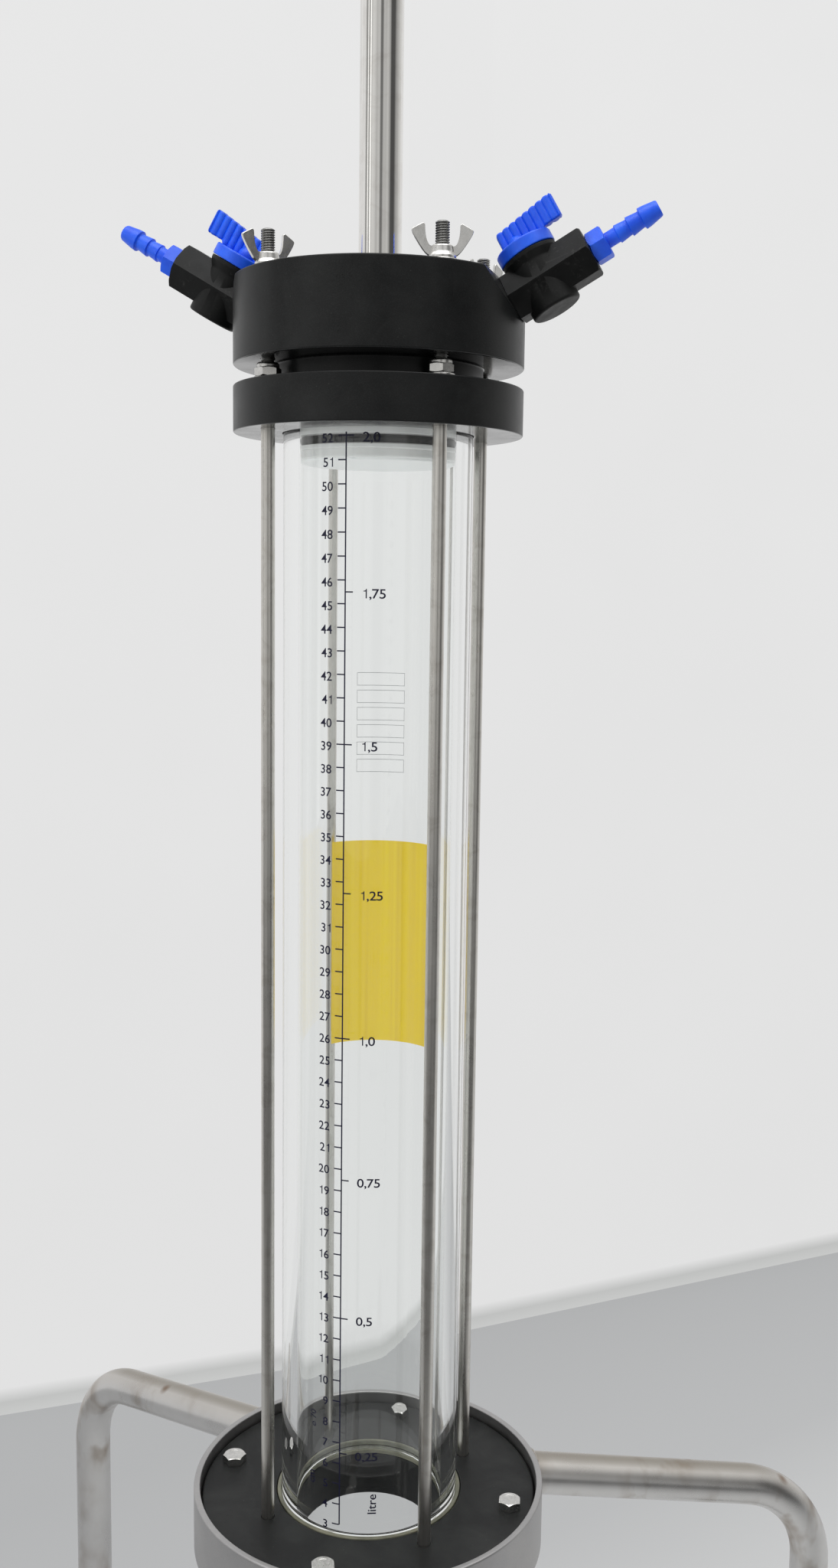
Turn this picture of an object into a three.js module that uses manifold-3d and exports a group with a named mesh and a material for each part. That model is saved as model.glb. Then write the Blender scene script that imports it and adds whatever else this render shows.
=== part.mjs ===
// Laboratory glass chromatography column, 70 mm bore, on a three-legged stand.
// Millimetres, +Z up. The floor is Z = 0 and the origin is the bottom centre of
// the bounding box; the column axis stands at X = 0, Y = AXIS_Y.
// Right is +X, rear is +Y. The valves point along +X (right) and -X (left).
import * as THREE from 'three';
import { mergeVertices } from 'three/addons/utils/BufferGeometryUtils.js';
import Module from 'manifold-3d';

const wasm = await Module();
wasm.setup();

// ---------------------------------------------------------------- dimensions
// Names: _R radius, _BOT and _TOP heights. Heights count from SCALE_ZERO.
const SCALE_ZERO = 200;          // height of the scale's 0 cm above the floor
const GAP = 0.3;                 // running and seating clearance
const SEG = 36;                  // facets around the large turned pieces

// stand
const LEG_R = 10;
const LEG_WALL = 1.5;
const LEG_FACETS = 10;
const LEG_STEPS = 15;            // sections along a leg
const LEG_REACH = 242;           // column axis to the axis of the vertical leg
const LEG_SLOPE = 11.5;          // degrees below horizontal
const LEG_BEND = 50;             // centre-line bend radius
const LEG_START_Z = 18.5;        // leg centre line where it meets the ring
const LEG_INSET = 6;             // run inside the ring, trimmed off again
const LEG_END = 5.6;             // leg's lower end above the floor
const LEG_AZIMUTH = { right: 30, left: 150, front: 270 };
const FOOT_R = 14;
const FOOT_SLEEVE_R = 12.6;
const FOOT_SLEEVE_TOP = 26;      // above the floor
const FOOT_FLOOR = 5.2;          // socket bottom above the floor
const AXIS_Y = LEG_REACH / 4;    // puts the bounding box centre at Y = 0

const RING_R = 84;
const RING_WALL = 3;
const RING_BOT = 0.2;
const RING_TOP = 30.6;
const LIP_R = 62.5;              // inner radius of the ring's lip
const LIP_TOP = RING_BOT + 4;

// column
const BORE_R = 35;
const TUBE_R = 42;               // glass outside radius
const TUBE_BOT = 23.7;
const TUBE_TOP = 534.5;
const BASE_R = 80;
const BASE_BOT = 0;
const BASE_TOP = 25.3;
const BASE_SEAT = 21.3;          // floor of the gasket recess
const HEAD_R = 64;               // flange and lid radius
const FLANGE_BOT = 523.6;
const FLANGE_TOP = 543.5;

// fasteners
const M6_R = 3;
const HOLE_R = 3.4;
const BOLT_CIRCLE_R = 69.7;      // base bolts
const ROD_CIRCLE_R = 53.5;       // tie rods
const ROD_BOT = 6;
const ROD_TOP = 605.5;

// lid
const LID_BOT = 552.5;
const LID_TOP = 589;
const NECK_R = 46;
const NECK_BOT = 543.9;
const CHAMBER_R = 30;
const CHAMBER_TOP = 561;
const NECK_GROOVE = { inner: 39.3, outer: 43.1, top: 547.1 };
const ROD_GROOVE = { outer: 12.6, bottom: 573, top: 576.2 };

// adaptor
const SHAFT_R = 9.5;
const SHAFT_BORE = 3;
const SHAFT_BOT = 524.4;
const SHAFT_TOP = 1075;
const SLIDE_R = SHAFT_R + GAP;   // holes the shaft passes through
const PISTON_R = 34.7;
const PISTON_BOT = 515.5;
const PISTON_TOP = 540.5;
const PISTON_GROOVE_R = 31;
const PISTON_SOCKET = 524;       // floor of the shaft's socket
const LOWER_GROOVE = { bottom: 517.4, top: 521.6 };
const UPPER_GROOVE = { bottom: 533.4, top: 537.6 };
const PLATE_R = 34.4;            // distributor plate and bed net

// valves: lengths run along the valve axis, outward from the lid's chamfer
const VALVE_TILT = 30;           // degrees above horizontal
const CHAMFER_DISTANCE = 341.6;  // chamfer plane, measured along the valve axis
const CHAMFER_OFFSET = 472.5;    // valve axis, measured along the chamfer plane
const BODY_START = 0.1;
const BODY_END = 38.7;
const PIVOT = 15;                // turning axis of the ball and handle
const PORT_R = 3.2;
const BARB_START = 46.3;         // outer face of the barb's hexagon

// -------------------------------------------------------------------- helpers
const rad = (degrees) => (degrees * Math.PI) / 180;
const polar = (r, degrees) => [r * Math.cos(rad(degrees)), r * Math.sin(rad(degrees))];
const middle = ({ bottom, top }) => (bottom + top) / 2;
const raise = (points, height) => points.map(([r, z]) => [r, z + height]);

// closed indexed triangle mesh with outward faces and no collapsed triangles
function clean(geometry) {
  const bare = geometry.clone();
  bare.deleteAttribute('normal');
  bare.deleteAttribute('uv');
  const merged = mergeVertices(bare, 1e-4);
  const source = merged.index.array;
  const corner = (i) => new THREE.Vector3().fromBufferAttribute(merged.attributes.position, i);
  const index = [];
  let volume = 0;
  for (let i = 0; i < source.length; i += 3) {
    const [a, b, c] = source.slice(i, i + 3);
    if (a === b || b === c || a === c) continue;
    index.push(a, b, c);
    volume += corner(a).dot(corner(b).cross(corner(c)));
  }
  if (volume < 0) {
    for (let i = 0; i < index.length; i += 3) {
      [index[i + 1], index[i + 2]] = [index[i + 2], index[i + 1]];
    }
  }
  merged.setIndex(index);
  return merged;
}

// geometry to manifold solid; a solid passes through
function solid(shape) {
  if (!shape.isBufferGeometry) return shape;
  const geometry = clean(shape);
  return new wasm.Manifold(new wasm.Mesh({
    numProp: 3,
    vertProperties: new Float32Array(geometry.attributes.position.array),
    triVerts: new Uint32Array(geometry.index.array),
  }));
}

const join = (...shapes) => shapes.map(solid).reduce((a, b) => a.add(b));
const cut = (body, ...tools) => tools.reduce((a, b) => a.subtract(solid(b)), solid(body));

function toGeometry(manifold) {
  const mesh = manifold.getMesh();
  const geometry = new THREE.BufferGeometry();
  geometry.setAttribute('position', new THREE.BufferAttribute(mesh.vertProperties, 3));
  geometry.setIndex(Array.from(mesh.triVerts));
  return geometry;
}

// revolve [r, z] points about Z; a profile that starts off the axis is closed
function lathe(points, seg) {
  const profile = points.map(([r, z]) => new THREE.Vector2(r, z));
  if (points[0][0] !== 0) profile.push(profile[0].clone());
  return new THREE.LatheGeometry(profile, seg).rotateX(Math.PI / 2);
}

const ring = (inner, outer, bottom, top, seg) =>
  lathe([[inner, bottom], [outer, bottom], [outer, top], [inner, top]], seg);
const disc = (r, bottom, top, seg) => lathe([[0, bottom], [r, bottom], [r, top], [0, top]], seg);
const torus = (centreR, tubeR, z, seg, tubeSeg) =>
  new THREE.TorusGeometry(centreR, tubeR, tubeSeg, seg).translate(0, 0, z);

// hexagonal prism along Z, turned by an angle in degrees
function hex(acrossFlats, bottom, top, turn = 0) {
  const r = acrossFlats / Math.sqrt(3);
  return new THREE.CylinderGeometry(r, r, top - bottom, 6)
    .rotateX(Math.PI / 2)
    .rotateZ(rad(turn))
    .translate(0, 0, (bottom + top) / 2);
}

// lays a shape built along +Z along +X
const alongX = (geometry) => geometry.rotateY(Math.PI / 2);

function outline(points, Kind = THREE.Shape) {
  const path = new Kind(points.map(([x, y]) => new THREE.Vector2(x, y)));
  path.closePath();
  return path;
}

// flat plate from an [x, z] outline, its thickness centred on Y = 0
function plate(points, thickness) {
  const options = { depth: thickness, steps: 1, bevelEnabled: false };
  return new THREE.ExtrudeGeometry(outline(points), options)
    .translate(0, 0, -thickness / 2)
    .rotateX(Math.PI / 2);
}

// holes number 0 to 3 on the bolt and tie rod circles
const QUARTERS = [0, 1, 2, 3];
const boltPlace = (i) => polar(BOLT_CIRCLE_R, 90 * i);
const rodPlace = (i) => polar(ROD_CIRCLE_R, 45 + 90 * i);
const boltHole = (i, bottom, top) => disc(HOLE_R, bottom, top, 8).translate(...boltPlace(i), 0);
const rodHole = (i, bottom, top) => disc(HOLE_R, bottom, top, 10).translate(...rodPlace(i), 0);

function frame(parent, [x, y, z], turn = 0) {
  const group = new THREE.Group();
  group.position.set(x, y, z);
  group.rotation.z = turn;
  parent.add(group);
  return group;
}

const MATERIALS = {
  black: { color: 0x2b2d2e, roughness: 0.55, metalness: 0 },
  blackValve: { color: 0x232424, roughness: 0.6, metalness: 0 },
  blue: { color: 0x2a5be0, roughness: 0.5, metalness: 0 },
  steel: { color: 0xc9c7c2, roughness: 0.2, metalness: 1 },
  satin: { color: 0xb3b0aa, roughness: 0.4, metalness: 1 },
  glass: { color: 0xe6efec, roughness: 0.02, metalness: 0, transparent: true, opacity: 0.25 },
  gasket: { color: 0xc9c59a, roughness: 0.5, metalness: 0 },
  white: { color: 0xe4e4e0, roughness: 0.45, metalness: 0 },
  rubber: { color: 0x161616, roughness: 0.7, metalness: 0 },
  net: { color: 0xbfc2c2, roughness: 0.35, metalness: 1 },
};

function part(name, shape, material, parent) {
  const geometry = shape.isBufferGeometry ? clean(shape) : toGeometry(shape);
  geometry.computeVertexNormals();
  const mesh = new THREE.Mesh(geometry, new THREE.MeshStandardMaterial(MATERIALS[material]));
  mesh.name = name;
  parent.add(mesh);
}

// ---------------------------------------------------------------------- stand
// ring with an inner lip that carries the base flange
function standRing() {
  const innerR = RING_R - RING_WALL;
  const profile = [
    [LIP_R, RING_BOT], [RING_R, RING_BOT], [RING_R, RING_TOP],
    [innerR, RING_TOP], [innerR, LIP_TOP], [LIP_R, LIP_TOP],
  ];
  return cut(lathe(profile, SEG), ...QUARTERS.map((i) => boltHole(i, -5, 10)));
}

// centre line of a leg in the XZ plane: sloping run, bend, vertical run
function legPath() {
  const slope = rad(LEG_SLOPE);
  const bendAngle = rad(90 - LEG_SLOPE);
  const tangent = LEG_BEND * Math.tan(bendAngle / 2);
  const run = LEG_REACH - RING_R;
  const downhill = new THREE.Vector3(Math.cos(slope), 0, -Math.sin(slope));
  const corner = new THREE.Vector3(LEG_REACH, 0, LEG_START_Z - run * Math.tan(slope));
  const start = corner.clone().addScaledVector(downhill, -(run + LEG_INSET) / Math.cos(slope));
  const bendStart = corner.clone().addScaledVector(downhill, -tangent);
  const centreX = LEG_REACH - LEG_BEND;
  const centreZ = corner.z - tangent;
  const bendEnd = new THREE.Vector3(LEG_REACH, 0, centreZ);
  const end = new THREE.Vector3(LEG_REACH, 0, LEG_END - SCALE_ZERO);

  class Bend extends THREE.Curve {
    getPoint(t, target = new THREE.Vector3()) {
      const angle = (1 - t) * bendAngle;
      const x = centreX + LEG_BEND * Math.cos(angle);
      return target.set(x, 0, centreZ + LEG_BEND * Math.sin(angle));
    }
  }
  const path = new THREE.CurvePath();
  path.add(new THREE.LineCurve3(start, bendStart));
  path.add(new Bend());
  path.add(new THREE.LineCurve3(bendEnd, end));
  return path;
}

// bent tube, trimmed where it meets the ring
function standLeg() {
  const circle = (r) => Array.from({ length: LEG_FACETS }, (_, i) => {
    const angle = (2 * Math.PI * i) / LEG_FACETS;
    return [r * Math.cos(angle), r * Math.sin(angle)];
  });
  const section = outline(circle(LEG_R));
  section.holes.push(outline(circle(LEG_R - LEG_WALL), THREE.Path));
  const options = { steps: LEG_STEPS, extrudePath: legPath(), bevelEnabled: false };
  return cut(new THREE.ExtrudeGeometry(section, options), disc(RING_R + GAP, -60, 90, 48));
}

// rubber foot with a socket for the leg
function standFoot() {
  return solid(lathe([
    [0, 0], [FOOT_R - 1, 0], [FOOT_R, 1.2], [FOOT_R, 4],
    [FOOT_SLEEVE_R, 8], [FOOT_SLEEVE_R, FOOT_SLEEVE_TOP],
    [LEG_R + GAP, FOOT_SLEEVE_TOP], [LEG_R + GAP, FOOT_FLOOR], [0, FOOT_FLOOR],
  ], 16));
}

function addStand(axis) {
  part('stand_ring', standRing(), 'satin', axis);
  const leg = standLeg();
  const foot = standFoot();
  for (const [side, azimuth] of Object.entries(LEG_AZIMUTH)) {
    part(`stand_leg_${side}`, leg, 'satin', frame(axis, [0, 0, 0], rad(azimuth)));
    const footPlace = [...polar(LEG_REACH, azimuth), -SCALE_ZERO];
    part(`foot_${side}`, foot, 'rubber', frame(axis, footPlace));
  }
}

// ----------------------------------------------------------------------- base
// stepped disc that drops into the ring and rests on its lip
function baseFlange() {
  const stepR = LIP_R - 1;
  const stepZ = LIP_TOP + 0.1;
  const recessR = 44.4;
  const profile = [
    [BORE_R, BASE_BOT], [stepR, BASE_BOT], [stepR, stepZ], [BASE_R, stepZ],
    [BASE_R, BASE_TOP], [recessR, BASE_TOP], [recessR, BASE_SEAT], [BORE_R, BASE_SEAT],
  ];
  const holes = QUARTERS.flatMap((i) => [boltHole(i, -5, 40), rodHole(i, ROD_BOT - GAP, 40)]);
  return cut(lathe(profile, SEG), ...holes);
}

// hexagon-headed bolt; the envelope rounds off the head's corners
function baseBolt() {
  const envelope = lathe([
    [0, -2], [3.5, -2],
    ...raise([[3.5, 0], [6, 0.05], [6, 3.5], [4.9, 4.2], [0, 4.2]], BASE_TOP),
  ], 12);
  return join(hex(10, BASE_TOP + 0.1, BASE_TOP + 4.1, 10), disc(M6_R, -1, BASE_TOP + 2, 8))
    .intersect(solid(envelope));
}

// L-section ring, under and around the lower end of the tube
function bottomGasket() {
  const [innerR, outerR, tubeSideR] = [BORE_R + 0.2, 44.1, TUBE_R + 0.3];
  const [bottom, top, floor] = [BASE_SEAT + 0.1, 26.2, TUBE_BOT - GAP];
  return lathe([
    [innerR, bottom], [outerR, bottom], [outerR, top],
    [tubeSideR, top], [tubeSideR, floor], [innerR, floor],
  ], SEG);
}

function addBase(axis) {
  part('base_flange', baseFlange(), 'black', axis);
  ['right', 'rear', 'left', 'front'].forEach((side, i) => {
    part(`base_bolt_${side}`, baseBolt(), 'steel', frame(axis, [...boltPlace(i), 0]));
  });
  part('bottom_gasket', bottomGasket(), 'gasket', axis);
}

// ------------------------------------------------------- tube and top flange
function topFlange() {
  const outsideR = TUBE_R + 0.4;
  const throatR = BORE_R + 0.3;
  const shoulder = TUBE_TOP + 2.2;
  const profile = [
    [outsideR, FLANGE_BOT], [HEAD_R, FLANGE_BOT], [HEAD_R, FLANGE_TOP],
    [throatR, FLANGE_TOP], [throatR, shoulder], [outsideR, shoulder],
  ];
  return cut(lathe(profile, SEG), ...QUARTERS.map((i) => rodHole(i, 500, 560)));
}

function addTube(axis) {
  part('glass_tube', ring(BORE_R, TUBE_R, TUBE_BOT, TUBE_TOP, SEG), 'glass', axis);
  const gasket = ring(BORE_R + 0.3, TUBE_R - 0.3, TUBE_TOP + 0.1, TUBE_TOP + 2.1, SEG);
  part('top_gasket', gasket, 'gasket', axis);
  part('top_flange', topFlange(), 'black', axis);
}

// ------------------------------------------------------------------------ lid
const tilt = rad(VALVE_TILT);
const valveSeat = new THREE.Vector3(
  CHAMFER_DISTANCE * Math.cos(tilt) - CHAMFER_OFFSET * Math.sin(tilt),
  0,
  CHAMFER_DISTANCE * Math.sin(tilt) + CHAMFER_OFFSET * Math.cos(tilt),
);

// lid with its neck, working chamber, rod guide and the two valve chamfers
function lid() {
  const { inner, outer, top } = NECK_GROOVE;
  const profile = [
    [SLIDE_R, CHAMBER_TOP], [CHAMBER_R, CHAMBER_TOP], [CHAMBER_R, NECK_BOT],
    [inner, NECK_BOT], [inner, top], [outer, top], [outer, NECK_BOT],
    [NECK_R, NECK_BOT], [NECK_R, LID_BOT], [HEAD_R, LID_BOT], [HEAD_R, LID_TOP],
    [SLIDE_R, LID_TOP], [SLIDE_R, ROD_GROOVE.top], [ROD_GROOVE.outer, ROD_GROOVE.top],
    [ROD_GROOVE.outer, ROD_GROOVE.bottom], [SLIDE_R, ROD_GROOVE.bottom],
  ];
  // chamfer, spigot pocket and duct into the chamber, in the valve's frame
  const valveCuts = (turn) => [
    new THREE.BoxGeometry(60, 140, 90).translate(30, 0, 0),
    alongX(disc(6.8, -8.5, 1, 16)),
    alongX(disc(3, -38, 0, 12)),
  ].map((tool) => tool.rotateY(-tilt).translate(...valveSeat).rotateZ(turn));
  const rodHoles = QUARTERS.map((i) => rodHole(i, 520, 620));
  return cut(lathe(profile, SEG), ...rodHoles, ...valveCuts(0), ...valveCuts(Math.PI));
}

function addLid(axis) {
  part('lid', lid(), 'black', axis);
  const neckRingR = (NECK_GROOVE.inner + NECK_GROOVE.outer) / 2;
  part('lid_o_ring', torus(neckRingR, 1.5, 545.45, 36, 5), 'rubber', axis);
  part('rod_o_ring', torus(11.05, 1.3, middle(ROD_GROOVE), 20, 5), 'rubber', axis);
}

// ------------------------------------------------------------------ tie rods
function tieRod() {
  return lathe([
    [0, ROD_BOT], [M6_R - 0.6, ROD_BOT], [M6_R, ROD_BOT + 0.8],
    [M6_R, ROD_TOP - 0.8], [M6_R - 0.7, ROD_TOP], [0, ROD_TOP],
  ], 10);
}

// hexagon nut with a round crown
function flangeNut(turn) {
  const crown = raise([[0, 4], [4.5, 4], [4.5, 6.6], [3.9, 7.4], [0, 7.4]], FLANGE_TOP);
  const body = join(hex(10, FLANGE_TOP + 1.6, FLANGE_TOP + 6, turn), lathe(crown, 12));
  return cut(body, disc(HOLE_R, 500, 600, 10));
}

// one wing, [x, z] from the nut's axis and underside
const WING = [
  [3.2, 0.4], [5.6, 1.2], [9.2, 4.2], [12.7, 8.9], [12.5, 12],
  [10.6, 14.0], [8.4, 14.4], [7.2, 11.4], [5.6, 7.0], [3.2, 6.2],
];

function wingNut() {
  const hub = lathe([[0, 0], [5.3, 0], [5.2, 1.4], [4.35, 3], [4.35, 7.2], [0, 7.2]], 12);
  const wing = plate(WING, 1.8);
  return cut(join(hub, wing, wing.clone().rotateZ(Math.PI)), disc(HOLE_R, -5, 20, 10));
}

// each tie rod's place and the turn of its wing nut in degrees
const TIE_RODS = [['rear_right', 60], ['rear_left', 20], ['front_left', 52], ['front_right', 20]];

function addTieRods(axis) {
  TIE_RODS.forEach(([where, wingTurn], i) => {
    const place = frame(axis, [...rodPlace(i), 0]);
    const addSteel = (name, shape, parent = place) =>
      part(`${name}_${where}`, shape, 'steel', parent);
    addSteel('tie_rod', tieRod());
    addSteel('flange_washer', ring(HOLE_R, 6, FLANGE_TOP + 0.1, FLANGE_TOP + 1.5, 12));
    addSteel('flange_nut', flangeNut(15 + 20 * i));
    addSteel('lid_washer', ring(HOLE_R, 6.6, LID_TOP + 0.1, LID_TOP + 1.3, 12));
    addSteel('wing_nut', wingNut(), frame(place, [0, 0, LID_TOP + 1.45], rad(wingTurn)));
  });
}

// --------------------------------------------------------------------- valves
// Quarter-turn ball valves, built with +X outward along the valve axis.
// hexagonal bar with a spigot into the lid and a round housing for the ball
function valveBody() {
  const housing = lathe([
    [0, -13.6], [10.2, -13.6], [11, -12.8], [11, 8], [12.4, 11], [12.4, 12.4], [0, 12.4],
  ], 20).translate(PIVOT, 0, 0);
  const spigot = alongX(disc(6.4, -8, 1, 12));
  return cut(
    join(alongX(hex(20, BODY_START, BODY_END)), spigot, housing),
    alongX(disc(PORT_R, -9, 30, 8)),
    alongX(disc(8.5, PIVOT - 8.6, PIVOT + 14, 16)),   // ball cavity
    alongX(disc(5.3, 28, 45, 12)),                    // socket for the hose barb
    disc(3.4, 0, 20, 10).translate(PIVOT, 0, 0),      // stem hole
  );
}

const valveBall = () =>
  cut(new THREE.SphereGeometry(7.6, 14, 9), alongX(disc(PORT_R, -10, 10, 8)));
const ballSeat = (start, end) => alongX(ring(3.5, 8.1, start, end, 12));

// handle blade, [x, z] from the ball's centre
const HANDLE_BLADE = [
  [-8.6, 17.4], [9.5, 17.4], [12.5, 19.4], [19.3, 18.8], [20.2, 20.6],
  [19.4, 29.6], [17.8, 30.4], [-7.4, 27.2], [-8.6, 26.2],
];

// stem and round cap, upright blade and a ball-shaped boss beside it
function valveHandle() {
  const stemAndCap = lathe([
    [0, 7.9], [3, 7.9], [3, 12.7], [12.7, 12.7], [12.7, 17.4], [12.1, 18], [0, 18],
  ], 20);
  const boss = new THREE.SphereGeometry(3.6, 10, 6).translate(-2.2, -2.2, 19.2);
  return join(stemAndCap, plate(HANDLE_BLADE, 5.2), boss);
}

function hoseBarb() {
  const profile = [
    [0, 29.5], [4.9, 29.5], [4.9, 38.8],
    ...raise([
      [4.9, -1], [3.3, -1], [3.3, 4.4], [3.9, 4.4], [3.4, 10], [4.2, 10],
      [3.5, 16.2], [4.6, 16.2], [3.6, 24.4], [3.0, 25], [0, 25],
    ], BARB_START),
  ];
  return cut(
    join(alongX(lathe(profile, 12)), alongX(hex(13, BODY_END + 0.2, BARB_START))),
    alongX(disc(2.2, 20, 90, 8)),
  );
}

function addValve(axis, side, turn) {
  const valve = frame(frame(axis, [0, 0, 0], turn), [...valveSeat]);
  valve.rotation.y = -tilt;
  part(`valve_body_${side}`, valveBody(), 'blackValve', valve);
  const pivot = frame(valve, [PIVOT, 0, 0]);
  part(`valve_ball_${side}`, valveBall(), 'white', pivot);
  part(`valve_handle_${side}`, valveHandle(), 'blue', pivot);
  part(`valve_seat_inner_${side}`, ballSeat(PIVOT - 8.4, PIVOT - 7.2), 'white', valve);
  part(`valve_seat_outer_${side}`, ballSeat(PIVOT + 7.2, PIVOT + 8.4), 'white', valve);
  part(`hose_barb_${side}`, hoseBarb(), 'blue', valve);
}

// -------------------------------------------------------------------- adaptor
// piston with two O-ring grooves and a socket for the hollow rod
function pistonBody() {
  const groove = ({ bottom, top }) => [
    [PISTON_R, bottom], [PISTON_GROOVE_R, bottom], [PISTON_GROOVE_R, top], [PISTON_R, top],
  ];
  return lathe([
    [SHAFT_BORE, PISTON_BOT], [PISTON_R, PISTON_BOT],
    ...groove(LOWER_GROOVE), ...groove(UPPER_GROOVE),
    [PISTON_R, PISTON_TOP], [SLIDE_R, PISTON_TOP],
    [SLIDE_R, PISTON_SOCKET], [SHAFT_BORE, PISTON_SOCKET],
  ], SEG);
}

// hexagon fitting over the top of the rod, with a hollow nozzle
function rodTopFitting() {
  const core = raise([
    [0, -16], [12.2, -16], [12.2, 8], [6.5, 11], [6.5, 14],
    [4.1, 15], [4.1, 30], [3.4, 31], [0, 31],
  ], SHAFT_TOP);
  return cut(
    join(hex(27, SHAFT_TOP - 14, SHAFT_TOP + 6, 30), lathe(core, 16)),
    disc(SLIDE_R, SHAFT_TOP - 20, SHAFT_TOP + GAP, 20),
    disc(2.2, SHAFT_TOP - 1, SHAFT_TOP + 40, 8),
  );
}

function addAdaptor(axis) {
  const pistonRing = (groove) => torus(33, 1.7, middle(groove), 36, 6);
  part('adaptor_rod', ring(SHAFT_BORE, SHAFT_R, SHAFT_BOT, SHAFT_TOP, 24), 'steel', axis);
  part('piston_body', pistonBody(), 'white', axis);
  part('piston_o_ring_lower', pistonRing(LOWER_GROOVE), 'rubber', axis);
  part('piston_o_ring_upper', pistonRing(UPPER_GROOVE), 'rubber', axis);
  part('distributor_plate', ring(2, PLATE_R, 511.7, 515.3, SEG), 'white', axis);
  part('bed_net', disc(PLATE_R, 510.5, 511.5, SEG), 'net', axis);
  part('rod_top_fitting', rodTopFitting(), 'steel', axis);
}

// ------------------------------------------------------------------- assembly
const column = new THREE.Group();
column.name = 'chromatography_column';
const axis = frame(column, [0, AXIS_Y, SCALE_ZERO]);
addStand(axis);
addBase(axis);
addTube(axis);
addLid(axis);
addTieRods(axis);
addValve(axis, 'right', 0);
addValve(axis, 'left', Math.PI);
addAdaptor(axis);

export default column;
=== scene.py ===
"""Glass column on a three-legged steel stand.

A vertical glass tube stands in a black base plate on a ring with three legs. A piston on
a polished shaft closes it at the top, under a black lid that carries two blue-levered
valves and is held by four tie rods with wing nuts.

Lengths are millimetres about the column axis unless noted, with z measured from the zero
of the printed scale. The front is -Y, the rear +Y and the right +X. Azimuths are degrees
counterclockwise from +X, seen from above. piece() turns everything into the frame's
metres.
"""

import functools
import math

import bmesh
import bpy
import numpy as np
from mathutils import Matrix, Vector


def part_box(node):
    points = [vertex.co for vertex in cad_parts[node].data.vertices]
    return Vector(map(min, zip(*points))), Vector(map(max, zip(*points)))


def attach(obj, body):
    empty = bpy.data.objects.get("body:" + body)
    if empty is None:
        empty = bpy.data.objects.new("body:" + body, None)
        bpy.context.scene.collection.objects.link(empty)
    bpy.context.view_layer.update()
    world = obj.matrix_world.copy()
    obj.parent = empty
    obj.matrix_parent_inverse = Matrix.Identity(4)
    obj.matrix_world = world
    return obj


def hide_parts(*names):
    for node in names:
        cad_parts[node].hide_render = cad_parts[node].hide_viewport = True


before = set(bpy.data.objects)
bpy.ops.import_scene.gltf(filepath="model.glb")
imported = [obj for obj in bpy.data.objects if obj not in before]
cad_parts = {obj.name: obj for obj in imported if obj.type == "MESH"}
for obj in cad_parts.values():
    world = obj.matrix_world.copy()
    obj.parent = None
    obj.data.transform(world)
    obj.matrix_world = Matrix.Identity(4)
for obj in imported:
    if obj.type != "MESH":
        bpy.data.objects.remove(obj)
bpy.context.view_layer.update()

# ------------------------------------------------------------ sizes and places
TUBE_BOT = 23.7
tube_low, tube_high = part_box("glass_tube")
AXIS_X = (tube_low.x + tube_high.x) / 2     # metres, in the frame
AXIS_Y = (tube_low.y + tube_high.y) / 2
SCALE_ZERO = tube_low.z - TUBE_BOT / 1000
TUBE_TOP = (tube_high.z - SCALE_ZERO) * 1000
ORIGIN = np.array([AXIS_X, AXIS_Y, SCALE_ZERO]) * 1000
GROUND = -ORIGIN[2]


def heights(node):
    """Lowest and highest z of a CAD piece."""
    return [corner.z * 1000 - ORIGIN[2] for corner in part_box(node)]


BASE_BOT, BASE_TOP = heights("base_flange")
FLANGE_BOT, FLANGE_TOP = heights("top_flange")
NECK_BOT, LID_TOP = heights("lid")
ROD_BOT, ROD_TOP = heights("tie_rod_front_left")
RING_BOT, RING_TOP = heights("stand_ring")
SHAFT_BOT, SHAFT_TOP = heights("adaptor_rod")
LID_BOT = 552.5
BORE_RADIUS, TUBE_RADIUS, HEAD_RADIUS = 35.0, 42.0, 64.0
RING_RADIUS = 84
ROD_CIRCLE, BOLT_CIRCLE = 53.5, 69.7    # radii on which the rods and base bolts stand

LEG_REACH = 242.0                   # axis to the upright part of a leg
LEG_START_Z = 18.5                  # leg centre line where it meets the ring
LEG_SLOPE = math.radians(11.5)
LEG_BEND = 50.0
LEG_RADIUS, LEG_WALL = 10.0, 1.5
LEG_AZIMUTHS = {"right": 30, "left": 150, "front": 270}

# azimuth of each tie rod, and the turn of its wing nut
CORNERS = {"rear_right": (45, 60), "rear_left": (135, 20),
           "front_left": (225, 52), "front_right": (315, 20)}
# azimuth of each base bolt, and the turn of its head
BOLTS = {"right": (0, 0), "rear": (90, 23), "left": (180, 41), "front": (270, 12)}

# A valve's own frame has +X outward along its port, and +Z up along its stem.
VALVES = {"right": 0, "left": 180}  # azimuths
VALVE_TILT = math.radians(30)
SEAT_ALONG, SEAT_ACROSS = 341.6, 472.5  # valve origin in the tilted axes, from zero
STEM_X = 15.0                       # stem axis in the valve's frame
PORT_END = 38.7                     # outer end of the hexagonal body
BARB_START = 46.3                   # outer face of the barb's hexagonal collar


# ------------------------------------------------------------------ placement
def spin(degrees):
    return Matrix.Rotation(math.radians(degrees), 4, "Z")


def move(x, y, z):
    return Matrix.Translation((x, y, z))


def on_circle(radius, azimuth):
    angle = math.radians(azimuth)
    return radius * math.cos(angle), radius * math.sin(angle)


ALONG_X = Matrix.Rotation(math.pi / 2, 4, "Y")      # +Z becomes +X


def valve_matrix(side):
    cos, sin = math.cos(VALVE_TILT), math.sin(VALVE_TILT)
    seat = move(SEAT_ALONG * cos - SEAT_ACROSS * sin, 0, SEAT_ALONG * sin + SEAT_ACROSS * cos)
    return spin(VALVES[side]) @ seat @ Matrix.Rotation(-VALVE_TILT, 4, "Y")


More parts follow.
